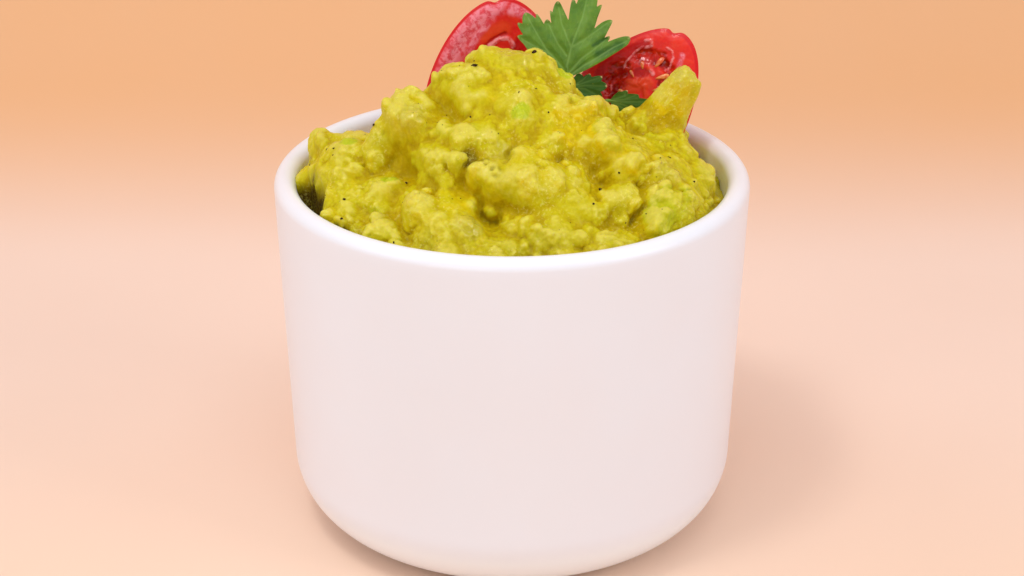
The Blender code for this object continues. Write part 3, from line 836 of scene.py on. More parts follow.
def paper_material(floor, rise):
    """Plain pale backing paper with the faintest tooth. It is painted paler towards the bend, as painted
    light, and its tone deepens where it starts to rise, as painted shade.

    Its back is clear, so that the bowl can be seen from behind the rise.
    """
    bench = NodeBench("studio_paper")
    back = bench.node("ShaderNodeSeparateXYZ", {"Vector": bench.place()}).outputs["Y"]
    # Painted light: the floor is paler and less orange from the bowl back to the bend.
    painted_light_band = tuple(channel * lift for channel, lift in zip(floor, (1.07, 1.2, 1.47)))
    base = bench.mix(bench.ramp(back, -120.0 * MM, 80.0 * MM), tuple(floor), painted_light_band)
    # Painted shade: the rise takes its own deeper, more orange colour.
    base = bench.mix(bench.ramp(back, 112.0 * MM, 230.0 * MM), base, tuple(rise))
    tone = bench.ramp(bench.noise(60.0, 2.0), 0.3, 0.7, 0.0, 0.06)
    base = bench.mix(tone, base, (0.8, 0.55, 0.42))
    bench.finish(Base_Color=base, Roughness=0.9, Normal=bench.bump(bench.noise(0.6, 2.0), 0.01, 0.3))
    return bench.clear_from_behind()


# ---------------------------------------------------------------- bowl


def arc(centre, radius, start, end, count):
    """Points (r, z) on a circle from start to end, in degrees."""
    angles = np.radians(np.linspace(start, end, count))
    return np.stack([centre[0] + radius * np.cos(angles), centre[1] + radius * np.sin(angles)], axis=1)


def straight(start, end, count):
    """Points (r, z) on a line, without its ends."""
    share = np.linspace(0.0, 1.0, count + 2)[1:-1, None]
    return np.array(start) * (1.0 - share) + np.array(end) * share


def outer_radius(z):
    """The bowl's outer radius at height z of its straight side."""
    share = (z - FOOT_CORNER) / (BOWL_HEIGHT - LIP - FOOT_CORNER)
    return SHOULDER_RADIUS + (RIM_RADIUS - SHOULDER_RADIUS) * share


def cavity_radius(z):
    """The cavity's radius at height z: its corner, its straight wall, then the lip rounding away."""
    z = np.asarray(z, float)
    corner_top = FLOOR_THICKNESS + INNER_CORNER
    wall = outer_radius(np.clip(z, corner_top, BOWL_HEIGHT - LIP)) - WALL
    rise = np.clip(z - (BOWL_HEIGHT - LIP), 0.0, LIP)
    wall = wall + LIP - np.sqrt(np.maximum(LIP**2 - rise**2, 0.0))
    drop = np.clip(corner_top - z, 0.0, INNER_CORNER)
    return wall - INNER_CORNER + np.sqrt(np.maximum(INNER_CORNER**2 - drop**2, 0.0))


def bowl_profile(ring_width, recess):
    """From the cavity's floor up the inside, over the lip, down the outside and under the foot."""
    corner_top = FLOOR_THICKNESS + INNER_CORNER
    corner = (float(outer_radius(corner_top)) - WALL - INNER_CORNER, corner_top)
    lip = (RIM_RADIUS - LIP, BOWL_HEIGHT - LIP)
    foot = (SHOULDER_RADIUS - FOOT_CORNER, FOOT_CORNER)
    ring = foot[0] - ring_width
    runs = [arc(corner, INNER_CORNER, -90, 0, 10)]
    runs.append(arc(lip, LIP, 180, 0, 22))
    runs.append(arc(foot, FOOT_CORNER, 0, -90, 24))
    runs.append(np.array([(ring + 0.3, 0.0), (ring, 0.12), (ring - 0.5, recess)]))
    profile = [np.array([(0.0, FLOOR_THICKNESS)]), straight((0.0, FLOOR_THICKNESS), runs[0][0], 4)]
    for run, after in zip(runs, runs[1:] + [np.array([(0.0, recess)])]):
        gap = int(np.hypot(*(after[0] - run[-1])) / PROFILE_STEP)
        profile += [run, straight(run[-1], after[0], gap)]
    profile.append(np.array([(0.0, recess)]))
    return np.concatenate(profile)


def bowl_surface(ring_width, recess):
    """The profile turned about Z.

    Its radius wavers by a few hundredths of a millimetre, as a cast bowl's does.
    """
    profile = bowl_profile(ring_width, recess)
    angles = np.linspace(0.0, 2.0 * np.pi, BOWL_AROUND, endpoint=False)
    r, z = profile[:, :1], profile[:, 1:]
    x, y = r * np.cos(angles), r * np.sin(angles)
    rings = np.stack([x, y, np.broadcast_to(z, x.shape)], axis=-1)
    flat = rings.reshape(-1, 3)
    waver = gradient_noise(flat / WAVER_SIZE, BOWL_WAVER_SEED).reshape(x.shape)
    waver = waver * WAVER * smooth_step(1.0, 12.0, z)
    scale = 1.0 - np.abs(waver) / np.maximum(r, 1.0)
    rings[..., :2] *= scale[..., None]
    rings[[0, -1], :, :2] = 0.0
    return shell(rings)


# ---------------------------------------------------------------- guacamole


def crest_height(x):
    """A smooth curve through the CREST stations (cubic Hermite)."""
    cx, cz = CREST[:, 0], CREST[:, 1]
    x = np.clip(x, cx[0], cx[-1])
    k = np.clip(np.searchsorted(cx, x) - 1, 0, len(cx) - 2)
    slope = np.gradient(cz, cx)
    span = cx[k + 1] - cx[k]
    t = (x - cx[k]) / span
    lift = (1 + 2 * t) * (1 - t) ** 2 * cz[k] + t * t * (3 - 2 * t) * cz[k + 1]
    return lift + t * (1 - t) ** 2 * span * slope[k] - t * t * (1 - t) * span * slope[k + 1]


def heap_height(x, y):
    """The heap without its lumps: a half cosine falls from the crest to the wall on each side."""
    level = np.where(y < 0, FRONT_LEVEL, BACK_LEVEL)
    width = np.where(y < 0, FRONT_SLOPE_WIDTH, BACK_SLOPE_WIDTH)
    crest = crest_height(x)
    level = np.minimum(level, crest)
    height = level + (crest - level) * 0.5 * (1 + np.cos(np.pi * np.minimum(np.abs(y) / width, 1.0)))
    for hx, hy, radius, depth in HOLLOWS:
        height = height - depth * np.exp(-((x - hx) ** 2 + (y - hy) ** 2) / radius**2)
    return height


def ball_exit(origins, directions, centre, radii, turn):
    """How far along each line it leaves a stretched ball, or -inf where it misses.

    The line is moved into the ball's own frame, where the ball is a unit sphere, and the larger
    root of the quadratic is the exit.
    """
    frame_in = turn / np.asarray(radii)[:, None]
    start = (origins - centre) @ frame_in.T
    along = directions @ frame_in.T
    a = np.einsum("ij,ij->i", along, along)
    b = np.einsum("ij,ij->i", start, along)
    c = np.einsum("ij,ij->i", start, start) - 1.0
    inner = b * b - a * c
    return np.where(inner > 0, (-b + np.sqrt(np.maximum(inner, 0.0))) / a, -np.inf)


def random_turn(rng):
    """A random rotation, from the QR parts of a random matrix."""
    q, r = np.linalg.qr(rng.normal(size=(3, 3)))
    return q * np.sign(np.diag(r))


class Heap:
    """The guacamole's top while it is being built up, on a grid over the bowl's mouth.

    Each grid point has a line out of the heap from HEART. swell is how far the surface has moved
    along it from the plain heap. A lump raises swell to its own far side wherever it reaches further.
    """

    def __init__(self):
        side = np.linspace(-1.0, 1.0, HEAP_GRID)
        u, v = np.meshgrid(side, side + 0.2 * (side**2 - 1.0))
        self.x = (cavity_radius(MOUTH_LEVEL) * u * np.sqrt(1.0 - v * v / 2.0)).ravel()
        self.y = (cavity_radius(MOUTH_LEVEL) * v * np.sqrt(1.0 - u * u / 2.0)).ravel()
        self.base = np.stack([self.x, self.y, heap_height(self.x, self.y)], axis=1)
        self.lines = unit(self.base - HEART)
        warp = noise_vectors(self.base, BROAD_WARP_SIZE, BROAD_WARP_SEED)
        warp = warp + FINE_WARP_SHARE * noise_vectors(self.base, FINE_WARP_SIZE, FINE_WARP_SEED)
        self.warped = self.base + warp
        self.warped_lines = unit(self.warped - HEART)
        humps = layered_noise(self.warped, HUMP_SIZE, 2, HUMP_SEED, billow=True)
        self.swell = HUMP_RISE * humps * smooth_step(HUMPS_END, HUMPS_FULL, np.hypot(self.x, self.y))
        self.hue = HUE_SPREAD * gradient_noise(self.base / HUE_SIZE, HUE_SEED)
        self.fresh = np.zeros(len(self.base))
        self.wet = np.zeros(len(self.base))
        self.painted_shade = np.zeros(len(self.base))

    def nearest(self, x, y):
        return int(np.argmin((self.x - x) ** 2 + (self.y - y) ** 2))

    def add_lump(self, x, y, radii, rise, rng, blend, heading=0.0, loose=0.0, hue=None):
        """A stretched ball whose top stands rise above the surface at (x, y).

        Its first radius lies along the heading. loose adds a random turn. blend is how softly it
        joins what is there.
        """
        at = self.nearest(x, y)
        line = self.lines[at]
        ahead = np.array((math.cos(heading), math.sin(heading), 0.0))
        ahead = unit(ahead - line * (ahead @ line))
        turn = np.stack([ahead, np.cross(line, ahead), line])
        if loose:
            turn = random_turn(rng) if loose > 1 else unit(turn + loose * rng.normal(size=(3, 3)))
        centre = self.base[at] + line * (self.swell[at] + rise - radii[2])
        near = np.flatnonzero((self.x - x) ** 2 + (self.y - y) ** 2 < (1.7 * max(radii) + 4.0) ** 2)
        reach = ball_exit(self.warped[near], self.warped_lines[near], centre, radii, turn)
        now = self.swell[near]
        gap = np.where(np.isfinite(reach), reach - now, -1e3)
        overlap = np.maximum(blend - np.abs(gap), 0.0)
        self.swell[near] = np.maximum(now, now + gap) + overlap**2 / (4.0 * blend)
        if hue is not None:
            self.hue[near] += smooth_step(-0.4, 1.2, gap) * (hue - self.hue[near])

    def add_crease(self, path, depth, width):
        """A ledge: the surface stands up to the path from above, and falls away below it."""
        warped = self.warped[:, :2] - self.base[:, :2]
        distance, side = path_distance(self.x + warped[:, 0], self.y + warped[:, 1], path)
        below = np.exp(-((distance / width) ** 2))
        above = smooth_step(1.5, 0.0, distance)
        self.swell -= depth * np.where(side < 0, below, above)

    def soften(self, reach):
        self.swell = box_blur(box_blur(self.grid(self.swell), reach), reach).ravel()

    def calm(self, x, y, radius):
        """Smooths the swell about (x, y), where the mash leaves the wall."""
        before = self.swell
        self.soften(6)
        share = smooth_step(radius, 0.5 * radius, np.hypot(self.x - x, self.y - y))
        self.swell = before + share * (self.swell - before)

    def ease_cliffs(self):
        """Where the swell jumps from one grid point to the next, it is spread over a few of them."""
        before = self.grid(self.swell)
        jump = np.hypot(*np.gradient(before))
        share = np.minimum(2.0 * box_blur(smooth_step(0.7, 1.6, jump), 2), 1.0)
        spread = box_blur(box_blur(before, 2), 2)
        self.swell = (before + share * (spread - before)).ravel()

    def settle(self):
        self.points = self.base + self.lines * self.swell[:, None]
        self.ragged = layered_noise(self.points, RAGGED_SIZE, 2, RAGGED_SEED)

    def paint(self, values, x, y, radius, value):
        """Eases values to value within a wavered ball about the surface's uppermost point at (x, y)."""
        away = (self.points[:, 0] - x) ** 2 + (self.points[:, 1] - y) ** 2
        near = np.flatnonzero(away < max(0.5, 1.2 * away.min()))
        anchor = self.points[near[np.argmax(self.points[near, 2])]]
        distance = np.linalg.norm(self.points + 0.8 * (self.warped - self.base) - anchor, axis=1)
        distance += 0.22 * radius * self.ragged
        values += smooth_step(1.25 * radius, 0.55 * radius, distance) * (value - values)

    def grid(self, values):
        return values.reshape(HEAP_GRID, HEAP_GRID, *values.shape[1:])

    def surface(self):
        """The grid moved along its lines, then along its normals by the fine relief, inside the wall."""
        points = self.points
        normals = grid_normals(self.grid(points)).reshape(-1, 3)
        knobs = layered_noise(points, KNOB_SIZE, 2, KNOB_SEED, billow=True)
        grain = layered_noise(points, GRAIN_SIZE, 2, GRAIN_SEED, billow=True)
        curled = points / CURL_SIZE + 0.5 * noise_vectors(points, 1.7, CURL_WARP_SEED)
        curls = 1.0 - 3.0 * np.abs(gradient_noise(curled, CURL_SEED))
        calm = smooth_step(-0.4, 0.4, gradient_noise(points / CALM_SIZE, CALM_SEED))
        relief = (0.16 + 0.24 * calm) * knobs + (0.1 + 0.1 * calm) * grain
        relief += self.wet * (0.22 * np.maximum(curls, -0.3) - relief * 0.6)
        points = points + normals * relief[:, None]
        self.relief = relief
        self.stand_off = np.zeros(len(points))
        x, y, z = (box_blur(self.grid(self.points[:, axis]), 6).ravel() for axis in range(3))
        for path, width, depth in GAPS:
            distance, _ = path_distance(x, y, path)
            distance = distance + 0.6 * gradient_noise(self.base / GAP_WAVER_SIZE, GAP_SEED)
            gap = smooth_step(width + 1.5, width - 1.5, distance)
            points[:, 2] += gap * (z - points[:, 2]) - depth * gap
            self.stand_off = np.maximum(self.stand_off, gap)
        # Painted shade in the gap where the mash stands off the wall.
        self.painted_shade = np.maximum(self.painted_shade, smooth_step(0.01, 0.14, self.stand_off))
        points = self.keep_inside(points)
        self.facing = grid_normals(self.grid(points)).reshape(-1, 3)[:, 2]
        return points

    def keep_inside(self, points):
        """Anything past the bowl's wall is pressed flat against it. The grid's edge is set on the wall."""
        reach = np.hypot(points[:, 0], points[:, 1])
        limit = cavity_radius(points[:, 2]) - WALL_CLEARANCE
        scale = np.where(points[:, 2] < BOWL_HEIGHT, np.minimum(1.0, limit / reach), 1.0)
        edge = edge_loop(self.grid(np.arange(len(points))))
        scale[edge] = (limit / reach)[edge]
        points[:, :2] *= scale[:, None]
        return points

    def hump_map(self):
        """Above 0 on humps and below 0 in creases: the swell less its own wide and narrow means, and pushed
        down in the gap at the wall. The material paints its highlight on humps and its shade in creases from
        it.
        """
        swell = self.grid(self.swell + self.relief)
        wide = swell - box_blur(box_blur(swell, WIDE_MEAN), WIDE_MEAN)
        fine = swell - box_blur(box_blur(swell, NARROW_MEAN), NARROW_MEAN)
        return np.clip(0.4 * wide.ravel() + 1.2 * fine.ravel() - 3.0 * self.stand_off, -1.0, 1.0)


def scatter_place(rng, radius):
    """A random (x, y) in a circle, as likely in one part of it as in another."""
    reach = radius * math.sqrt(rng.uniform())
    angle = rng.uniform(0.0, 2.0 * math.pi)
    return reach * math.cos(angle), reach * math.sin(angle)


def strew_nodules(heap, rng, count, low, high, stand):
    """count lumps of low to high millimetres in radius, each turned at random."""
    for _ in range(count):
        x, y = scatter_place(rng, SCATTER_REACH)
        radii = rng.uniform(low, high) * rng.uniform(0.75, 1.3, 3)
        rise = radii[2] * stand * rng.uniform(0.4, 1.3)
        blend = rng.uniform(0.6, 1.0) * radii[2]
        heap.add_lump(x, y, radii, rise, rng, blend, loose=2.0)


def paint_marks(heap):
    """Wet patches and green bits at random, painted shade along the deepest crease, and the mash near the
    front lip wetter and darker with painted shade.
    """
    rng = np.random.default_rng(WET_SEED)
    kinds = ((heap.wet, WET_PATCHES, 2.4, 3.6), (heap.fresh, GREEN_BITS, 1.5, 2.5))
    for values, count, low, high in kinds:
        for _ in range(count):
            heap.paint(values, *scatter_place(rng, MARK_REACH), rng.uniform(low, high), 1.0)
    # Painted shade along the deepest crease.
    deepest, _, _ = max(CREASES, key=lambda crease: crease[1])
    for x, y in deepest:
        place = heap.points[heap.nearest(x, y)]
        heap.paint(heap.painted_shade, place[0], place[1], PAINTED_SHADE_RADIUS, PAINTED_SHADE_SHARE)
    # Near the front lip the mash is made wetter and glossier, and darker in colour as painted shade.
    near_lip = smooth_step(-25.0, -35.0, heap.y)
    heap.wet = np.maximum(heap.wet, 0.5 * near_lip)
    heap.painted_shade = np.maximum(heap.painted_shade, 0.1 * near_lip)


def build_heap(nodules, pips, stand):
    """Long masses and lumps, ledges cut under them, then nodules and small pips over all of it."""
    rng = np.random.default_rng(LUMP_SEED)
    heap = Heap()
    for x0, y0, x1, y1, radius, rise, hue in RIDGES:
        length = math.hypot(x1 - x0, y1 - y0) / 2.0 + radius
        heading = math.atan2(y1 - y0, x1 - x0)
        middle = ((x0 + x1) / 2.0, (y0 + y1) / 2.0)
        heap.add_lump(*middle, (length, radius, radius), rise, rng, RIDGE_BLEND, heading, hue=hue)
    for x, y, radius, rise, hue in LUMPS:
        radii = radius * rng.uniform(0.9, 1.15, 3) * (1.3, 1.0, 0.85)
        heap.add_lump(x, y, radii, rise, rng, LUMP_BLEND, rng.uniform(0.0, 3.1), 0.2, hue)
    for x, y, radius, length, rise, hue in PEAKS:
        heap.add_lump(x, y, (radius, radius, length), rise, rng, PEAK_BLEND, hue=hue)
    for path, depth, width in CREASES:
        heap.add_crease(path, depth, 1.2 * width)
    heap.soften(2)
    heap.calm(*CALM_PATCH)
    rng = np.random.default_rng(NODULE_SEED)
    strew_nodules(heap, rng, nodules, 2.0, 3.8, stand)
    heap.soften(1)
    strew_nodules(heap, rng, pips, 0.9, 1.8, 1.1 * stand)
    for _ in range(2):
        heap.ease_cliffs()
    heap.settle()
    paint_marks(heap)
    return heap


def heap_underside(edge):
    """Rings from the top's edge down the cavity's wall, round its corner and in to its middle."""
    direction = unit(edge[:, :2])
    floor = FLOOR_THICKNESS + 0.1
    corner_top = FLOOR_THICKNESS + INNER_CORNER
    stations = [(None, 45.0), (None, corner_top), (None, FLOOR_THICKNESS + 2.9), (29.0, floor), (14.0, floor)]
    rings = []
    for radius, z in stations:
        reach = float(cavity_radius(z)) - 0.1 if radius is None else radius
        rings.append(np.column_stack([direction * reach, np.full(len(edge), z)]))
    return np.array(rings), np.array([[0.0, 0.0, floor]])


def heap_shell(heap, top):
    """The top grid closed by its underside."""
    index = heap.grid(np.arange(len(top)))
    loop = edge_loop(index)
    rings, centre = heap_underside(top[loop])
    count = len(top)
    below = count + np.arange(rings.shape[0] * rings.shape[1]).reshape(rings.shape[:2])
    points = np.concatenate([top, rings.reshape(-1, 3), centre])
    walls = grid_quads(np.concatenate([loop[None], below]), wrap=True)
    return points, [grid_quads(index)[:, ::-1], walls, fan(len(points) - 1, below[-1])]


def pad_to(values, count):
    return np.concatenate([values, np.zeros(count - len(values))])


def place_on(points, normals, x, y):
    """The uppermost surface point near (x, y), with its normal."""
    near = np.flatnonzero((points[:, 0] - x) ** 2 + (points[:, 1] - y) ** 2 < 0.6**2)
    if not len(near):
        near = np.array([np.argmin((points[:, 0] - x) ** 2 + (points[:, 1] - y) ** 2)])
    best = near[np.argmax(points[near, 2])]
    return points[best], normals[best]


def pebble_shape(around, rings):
    """A unit ball as a small (rings, around, 3) grid of points."""
    polar = np.linspace(0.0, np.pi, rings)[:, None]
    angle = np.linspace(0.0, 2.0 * np.pi, around, endpoint=False)
    x, y = np.sin(polar) * np.cos(angle), np.sin(polar) * np.sin(angle)
    return np.stack([x, y, np.broadcast_to(np.cos(polar), x.shape)], axis=-1)


def pepper_shells(points, normals, count, coarseness):
    """Flecks of cracked pepper: small uneven chips, each pressed half into the surface."""
    rng = np.random.default_rng(PEPPER_SEED)
    ball = pebble_shape(7, 5)
    spots = []
    for low, spread, number in ((0.5, 1.0, COARSE_FLECKS), (0.25, 0.4, count)):
        for _ in range(number):
            place = scatter_place(rng, PEPPER_REACH)
            spots.append((*place, low + spread * rng.uniform() ** 3))
    shells = []
    for x, y, size in spots:
        size = coarseness * size
        at, normal = place_on(points, normals, x, y)
        stretch = size * 0.5 * np.array([rng.uniform(0.8, 1.5), rng.uniform(0.6, 1.0), rng.uniform(0.4, 0.8)])
        dents = 1.0 + 0.25 * rng.uniform(-1.0, 1.0, ball.shape[:2])[..., None]
        dents[[0, -1]] = 1.0
        chip = (ball * dents * stretch) @ random_turn(rng).T
        shells.append(shell(chip + at - normal * 0.08 * size))
    return merge_shells(shells)


# ---------------------------------------------------------------- tomatoes


def tomato_axes(sideways, backward, turn):
    """Across, into the flesh and along: the half's own directions as the columns of a matrix."""
    side, back = math.radians(sideways), math.radians(backward)
    along = Vector((math.sin(side), math.cos(side) * math.sin(back), math.cos(side) * math.cos(back)))
    pitch = math.radians(SIGHT_PITCH)
    towards_eater = Vector((0.0, -math.cos(pitch), math.sin(pitch)))
    outwards = (towards_eater - along * towards_eater.dot(along)).normalized()
    outwards = Matrix.Rotation(-math.radians(turn), 3, along) @ outwards
    into = -outwards
    return np.array((into.cross(along), into, along)).T


def egg(across, into, along, half_width, depth):
    """Stretches a unit ball's (X, Y, Z) to the half's egg shape, narrower towards its upper end."""
    girth = 1.0 - TOMATO_TAPER * along
    return np.stack([across * girth * half_width, into * girth * depth, along * TOMATO_HALF_LENGTH], axis=-1)


def face_marks(node, x, y):
    """Each mark's mask over the cut face, and how far the face stands above the plain cut.

    A mask is 1 within its mark's width of its path and eases to 0 beyond. Both are wavered by noise.
    """
    flat = np.stack([x, y, np.zeros_like(x)], axis=-1).reshape(-1, 3)
    wave = 0.5 * gradient_noise(flat / 2.6, FACE_WAVE_SEED).reshape(x.shape)
    ripple = gradient_noise(flat / 0.9, FACE_RIPPLE_SEED).reshape(x.shape)
    masks = {kind: np.zeros_like(x) for kind in ("jelly", "core", "deep", "membrane_and_glint", "painted_glare")}
    lift = 0.05 * ripple
    for kind, width, height, path in FACE_MARKS[node]:
        distance, _ = path_distance(x + wave * min(width, 1.0), y + wave * min(width, 1.0), path)
        distance = distance + 0.18 * width * ripple
        soft = 0.5 if kind in ("painted_glare", "core") else 0.15
        mask = smooth_step((1.0 + soft) * width, (0.85 - soft) * width, distance)
        masks[kind] = np.maximum(masks[kind], mask)
        lift = lift + height * smooth_step(1.3 * width, 0.3 * width, distance)
    masks["jelly"] *= 1.0 - np.maximum(masks["core"], 0.8 * masks["membrane_and_glint"])
    lift += 0.14 * masks["jelly"] * wave + 0.06 * masks["jelly"] * ripple
    return masks, lift


def tomato_surface(node):
    """One closed surface: rings grow over the cut face, round the skin's edge and over the back."""
    centre, half_width, depth, *leans = TOMATOES[node]
    around = np.linspace(0.0, 2.0 * np.pi, FACE_AROUND, endpoint=False)
    inner_rings = np.linspace(0.0, EDGE_SHARE, FACE_RINGS)
    edge_rings = np.linspace(EDGE_SHARE, 1.0, EDGE_RINGS)[1:]
    share = np.concatenate([inner_rings, edge_rings])[:, None]
    face = egg(share * np.sin(around), 0.0 * share * around, share * np.cos(around), half_width, depth)
    edge = (1.0 - share) * 0.8 * half_width
    masks, lift = face_marks(node, face[..., 0], face[..., 2])
    roll = np.maximum(1.0 - edge / 0.9, 0.0) ** 2
    inner = smooth_step(0.0, 0.9, edge)
    face[..., 1] = 0.3 - inner * lift + 0.25 * roll - 0.22 * np.exp(-(((edge - 1.3) / 0.8) ** 2))
    masks["peel"] = smooth_step(0.5, 0.3, edge) * np.ones_like(lift)
    lean = np.radians(np.linspace(0.0, 90.0, BACK_RINGS))[1:, None]
    across, along = np.sin(around) * np.cos(lean), np.cos(around) * np.cos(lean)
    back = egg(across, np.sin(lean) + 0.0 * around, along, half_width, depth)
    back[..., 1] = np.maximum(back[..., 1], 0.57)
    tip = np.exp(-(((around + np.pi + 0.18) % (2 * np.pi) - np.pi) ** 2) / 0.008)
    rings = np.concatenate([face, back])
    dimple = np.concatenate([share**10 * tip, np.cos(lean) ** 6 * tip])
    rings[..., 2] -= 0.8 * dimple
    rings[0] = rings[0].mean(axis=0)
    rings[-1] = rings[-1].mean(axis=0)
    attributes = {}
    for key, values in masks.items():
        full = np.concatenate([values, np.full(back.shape[:2], 1.0 if key == "peel" else 0.0)])
        attributes[key] = np.concatenate([full[:1, 0], full[1:-1].ravel(), full[-1:, 0]])
    placed = rings @ tomato_axes(*leans).T + np.array(centre)
    points, faces = shell(placed)
    return points, faces, attributes


def seed_shells(node, plumpness):
    """Flat drop-shaped seeds lying in the jelly, each with its pointed end towards the core."""
    centre, _, _, *leans = TOMATOES[node]
    axes = tomato_axes(*leans)
    ball = pebble_shape(16, 15)
    t = ball[..., 2]
    shells = []
    for x, y, tip_x, tip_y, width in SEEDS[node]:
        length = math.hypot(x - tip_x, y - tip_y)
        ahead = np.array((x - tip_x, y - tip_y)) / length
        width = plumpness * width
        across = ball[..., 0] * (1.0 + 0.45 * t) * width / 2.0
        along = t * length / 2.0
        sunk = 0.22 - ball[..., 1] * 0.35 * width + 0.12 * t**2
        placed = np.stack(
            [
                (x + tip_x) / 2.0 + along * ahead[0] + across * ahead[1],
                sunk,
                (y + tip_y) / 2.0 + along * ahead[1] - across * ahead[0],
            ],
            axis=-1,
        )
        shells.append(shell(placed @ axes.T + np.array(centre)))
    return merge_shells(shells)


# ---------------------------------------------------------------- parsley


def leaflet_matrix(heading, lean):
    """A flat leaflet that grows along +Y, turned to its heading and stood up, leant back."""
    upright = Matrix.Rotation(math.radians(90.0 - lean), 3, "X")
    return np.array(upright @ Matrix.Rotation(-math.radians(heading), 3, "Z"))


def margin_reach(angles, margin):
    """The margin's reach at each angle, with the angles of its teeth.

    It rises to each tooth's point by a quarter sine and is straight elsewhere.
    """
    at, reach = np.array(margin, float).T
    k = np.clip(np.searchsorted(at, angles, side="right") - 1, 0, len(at) - 2)
    t = (angles - at[k]) / (at[k + 1] - at[k])
    peak = np.concatenate([[False], (reach[1:-1] > reach[:-2]) & (reach[1:-1] > reach[2:]), [False]])
    rising = reach[k + 1] > reach[k]
    t = np.where(rising & peak[k + 1], np.sin(np.pi / 2.0 * t), t)
    t = np.where(~rising & peak[k], 1.0 - np.sin(np.pi / 2.0 * (1.0 - t)), t)
    return reach[k] + (reach[k + 1] - reach[k]) * t, at[peak]


def leaflet_shell(margin, veins, base, heading, lean, curl, shade, thickness):
    """A blade with an upper and a lower sheet, closed round its edge.

    Columns fan out from the stalk at even angles and rows go out to the margin. The blade's height
    is a sunk crease along each vein, a quilted swell between the veins, waves that grow towards the
    margin and a curl that grows with the square of the reach.
    """
    columns, rows = LARGE_LEAF_GRID if margin is TERMINAL_MARGIN else SMALL_LEAF_GRID
    angles = np.linspace(margin[0][0], margin[-1][0], columns)
    reach, teeth = margin_reach(angles, margin)
    share = np.linspace(0.02, 1.0, rows)[:, None]
    far = share * reach
    radians = np.radians(angles)
    x, y = far * np.sin(radians), far * np.cos(radians)
    near = np.min([path_distance(x, y, polar_path(vein))[0] for vein in veins], axis=0)
    vein = np.exp(-((near / (0.24 - 0.12 * share)) ** 2)) * (1.0 - 0.5 * share)
    branch = np.abs((near * 1.15 + 0.55 * far) % 1.0 - 0.5)
    vein = np.maximum(vein, 0.3 * smooth_step(0.1, 0.0, branch) * smooth_step(1.6, 0.5, near))
    flat = np.stack([x, y, np.zeros_like(x)], axis=-1).reshape(-1, 3)
    waves = gradient_noise(flat / 3.0, LEAF_WAVE_SEED + int(heading)).reshape(x.shape)
    edge_waves = gradient_noise(flat / 1.4, LEAF_EDGE_SEED + int(heading)).reshape(x.shape)
    quilt = 1.0 - 0.6 * shade
    z = 0.3 * quilt * smooth_step(0.0, 1.4, near) - 0.1 * quilt * vein + 0.4 * curl * waves * share
    z = z + 0.25 * curl * edge_waves * share**3 - curl * 0.012 * far**2
    z = z + curl * 1.4 * smooth_step(46.0, 62.0, angles) * share**2 * (far > 0)
    thickness = thickness - 0.12 * share + 0.12 * vein
    axes = leaflet_matrix(heading, lean)
    upper = np.stack([x, y, z + thickness / 2.0], axis=-1) @ axes.T + np.array(base)
    lower = np.stack([x, y, z - thickness / 2.0], axis=-1) @ axes.T + np.array(base)
    count = rows * columns
    top = np.arange(count).reshape(rows, columns)
    loop, under_loop = edge_loop(top), edge_loop(top + count)
    walls = grid_quads(np.stack([loop, under_loop]), wrap=True)
    faces = [grid_quads(top)[:, ::-1], grid_quads(top + count), walls]
    points = np.concatenate([upper.reshape(-1, 3), lower.reshape(-1, 3)])
    dark = np.full(x.shape, shade)
    # Painted shade: a dark band along each fold of the large leaflet.
    if not shade:
        for path, width in LEAF_FOLDS:
            fold = path_distance(x, y, polar_path(path))[0]
            dark = np.maximum(dark, 0.8 * smooth_step(1.6 * width, 0.2 * width, fold))
    from_tooth = np.min([np.abs(angles - tooth) for tooth in teeth], axis=0)
    tip = smooth_step(2.2, 0.8, from_tooth * reach / 7.0) * smooth_step(0.955, 0.98, share)
    attributes = {
        "vein": np.tile((vein * (1.0 - 0.65 * shade)).ravel(), 2),
        "shade": np.tile(dark.ravel(), 2),
        "tip": np.tile((tip * (0.25 + 0.75 * (shade > 0))).ravel(), 2),
    }
    return points, faces, attributes


def tube_shell(path, radii):
    """A round stalk: circles carried along a smooth path, closed by a point at each end."""
    path = np.asarray(path, float)
    steps = np.linspace(0.0, len(path) - 1.0, 12 * (len(path) - 1) + 1)
    k = np.arange(len(path))
    line = np.stack([np.interp(steps, k, path[:, axis]) for axis in range(3)], axis=1)
    line[1:-1] = (line[:-2] + 2.0 * line[1:-1] + line[2:]) / 4.0
    radius = np.interp(steps, k, radii)
    tangent = unit(np.gradient(line, axis=0))
    side = unit(np.cross(tangent, (0.0, 1.0, 0.05)))
    other = np.cross(tangent, side)
    angle = np.linspace(0.0, 2.0 * np.pi, STALK_AROUND, endpoint=False)[None, :, None]
    ribs = 1.0 + 0.07 * np.cos(5.0 * angle)
    outwards = np.cos(angle) * side[:, None] + np.sin(angle) * other[:, None]
    rings = line[:, None] + radius[:, None, None] * ribs * outwards
    ends = [np.repeat(line[i][None, None], STALK_AROUND, axis=1) for i in (0, -1)]
    return shell(np.concatenate([ends[0], rings, ends[1]]))


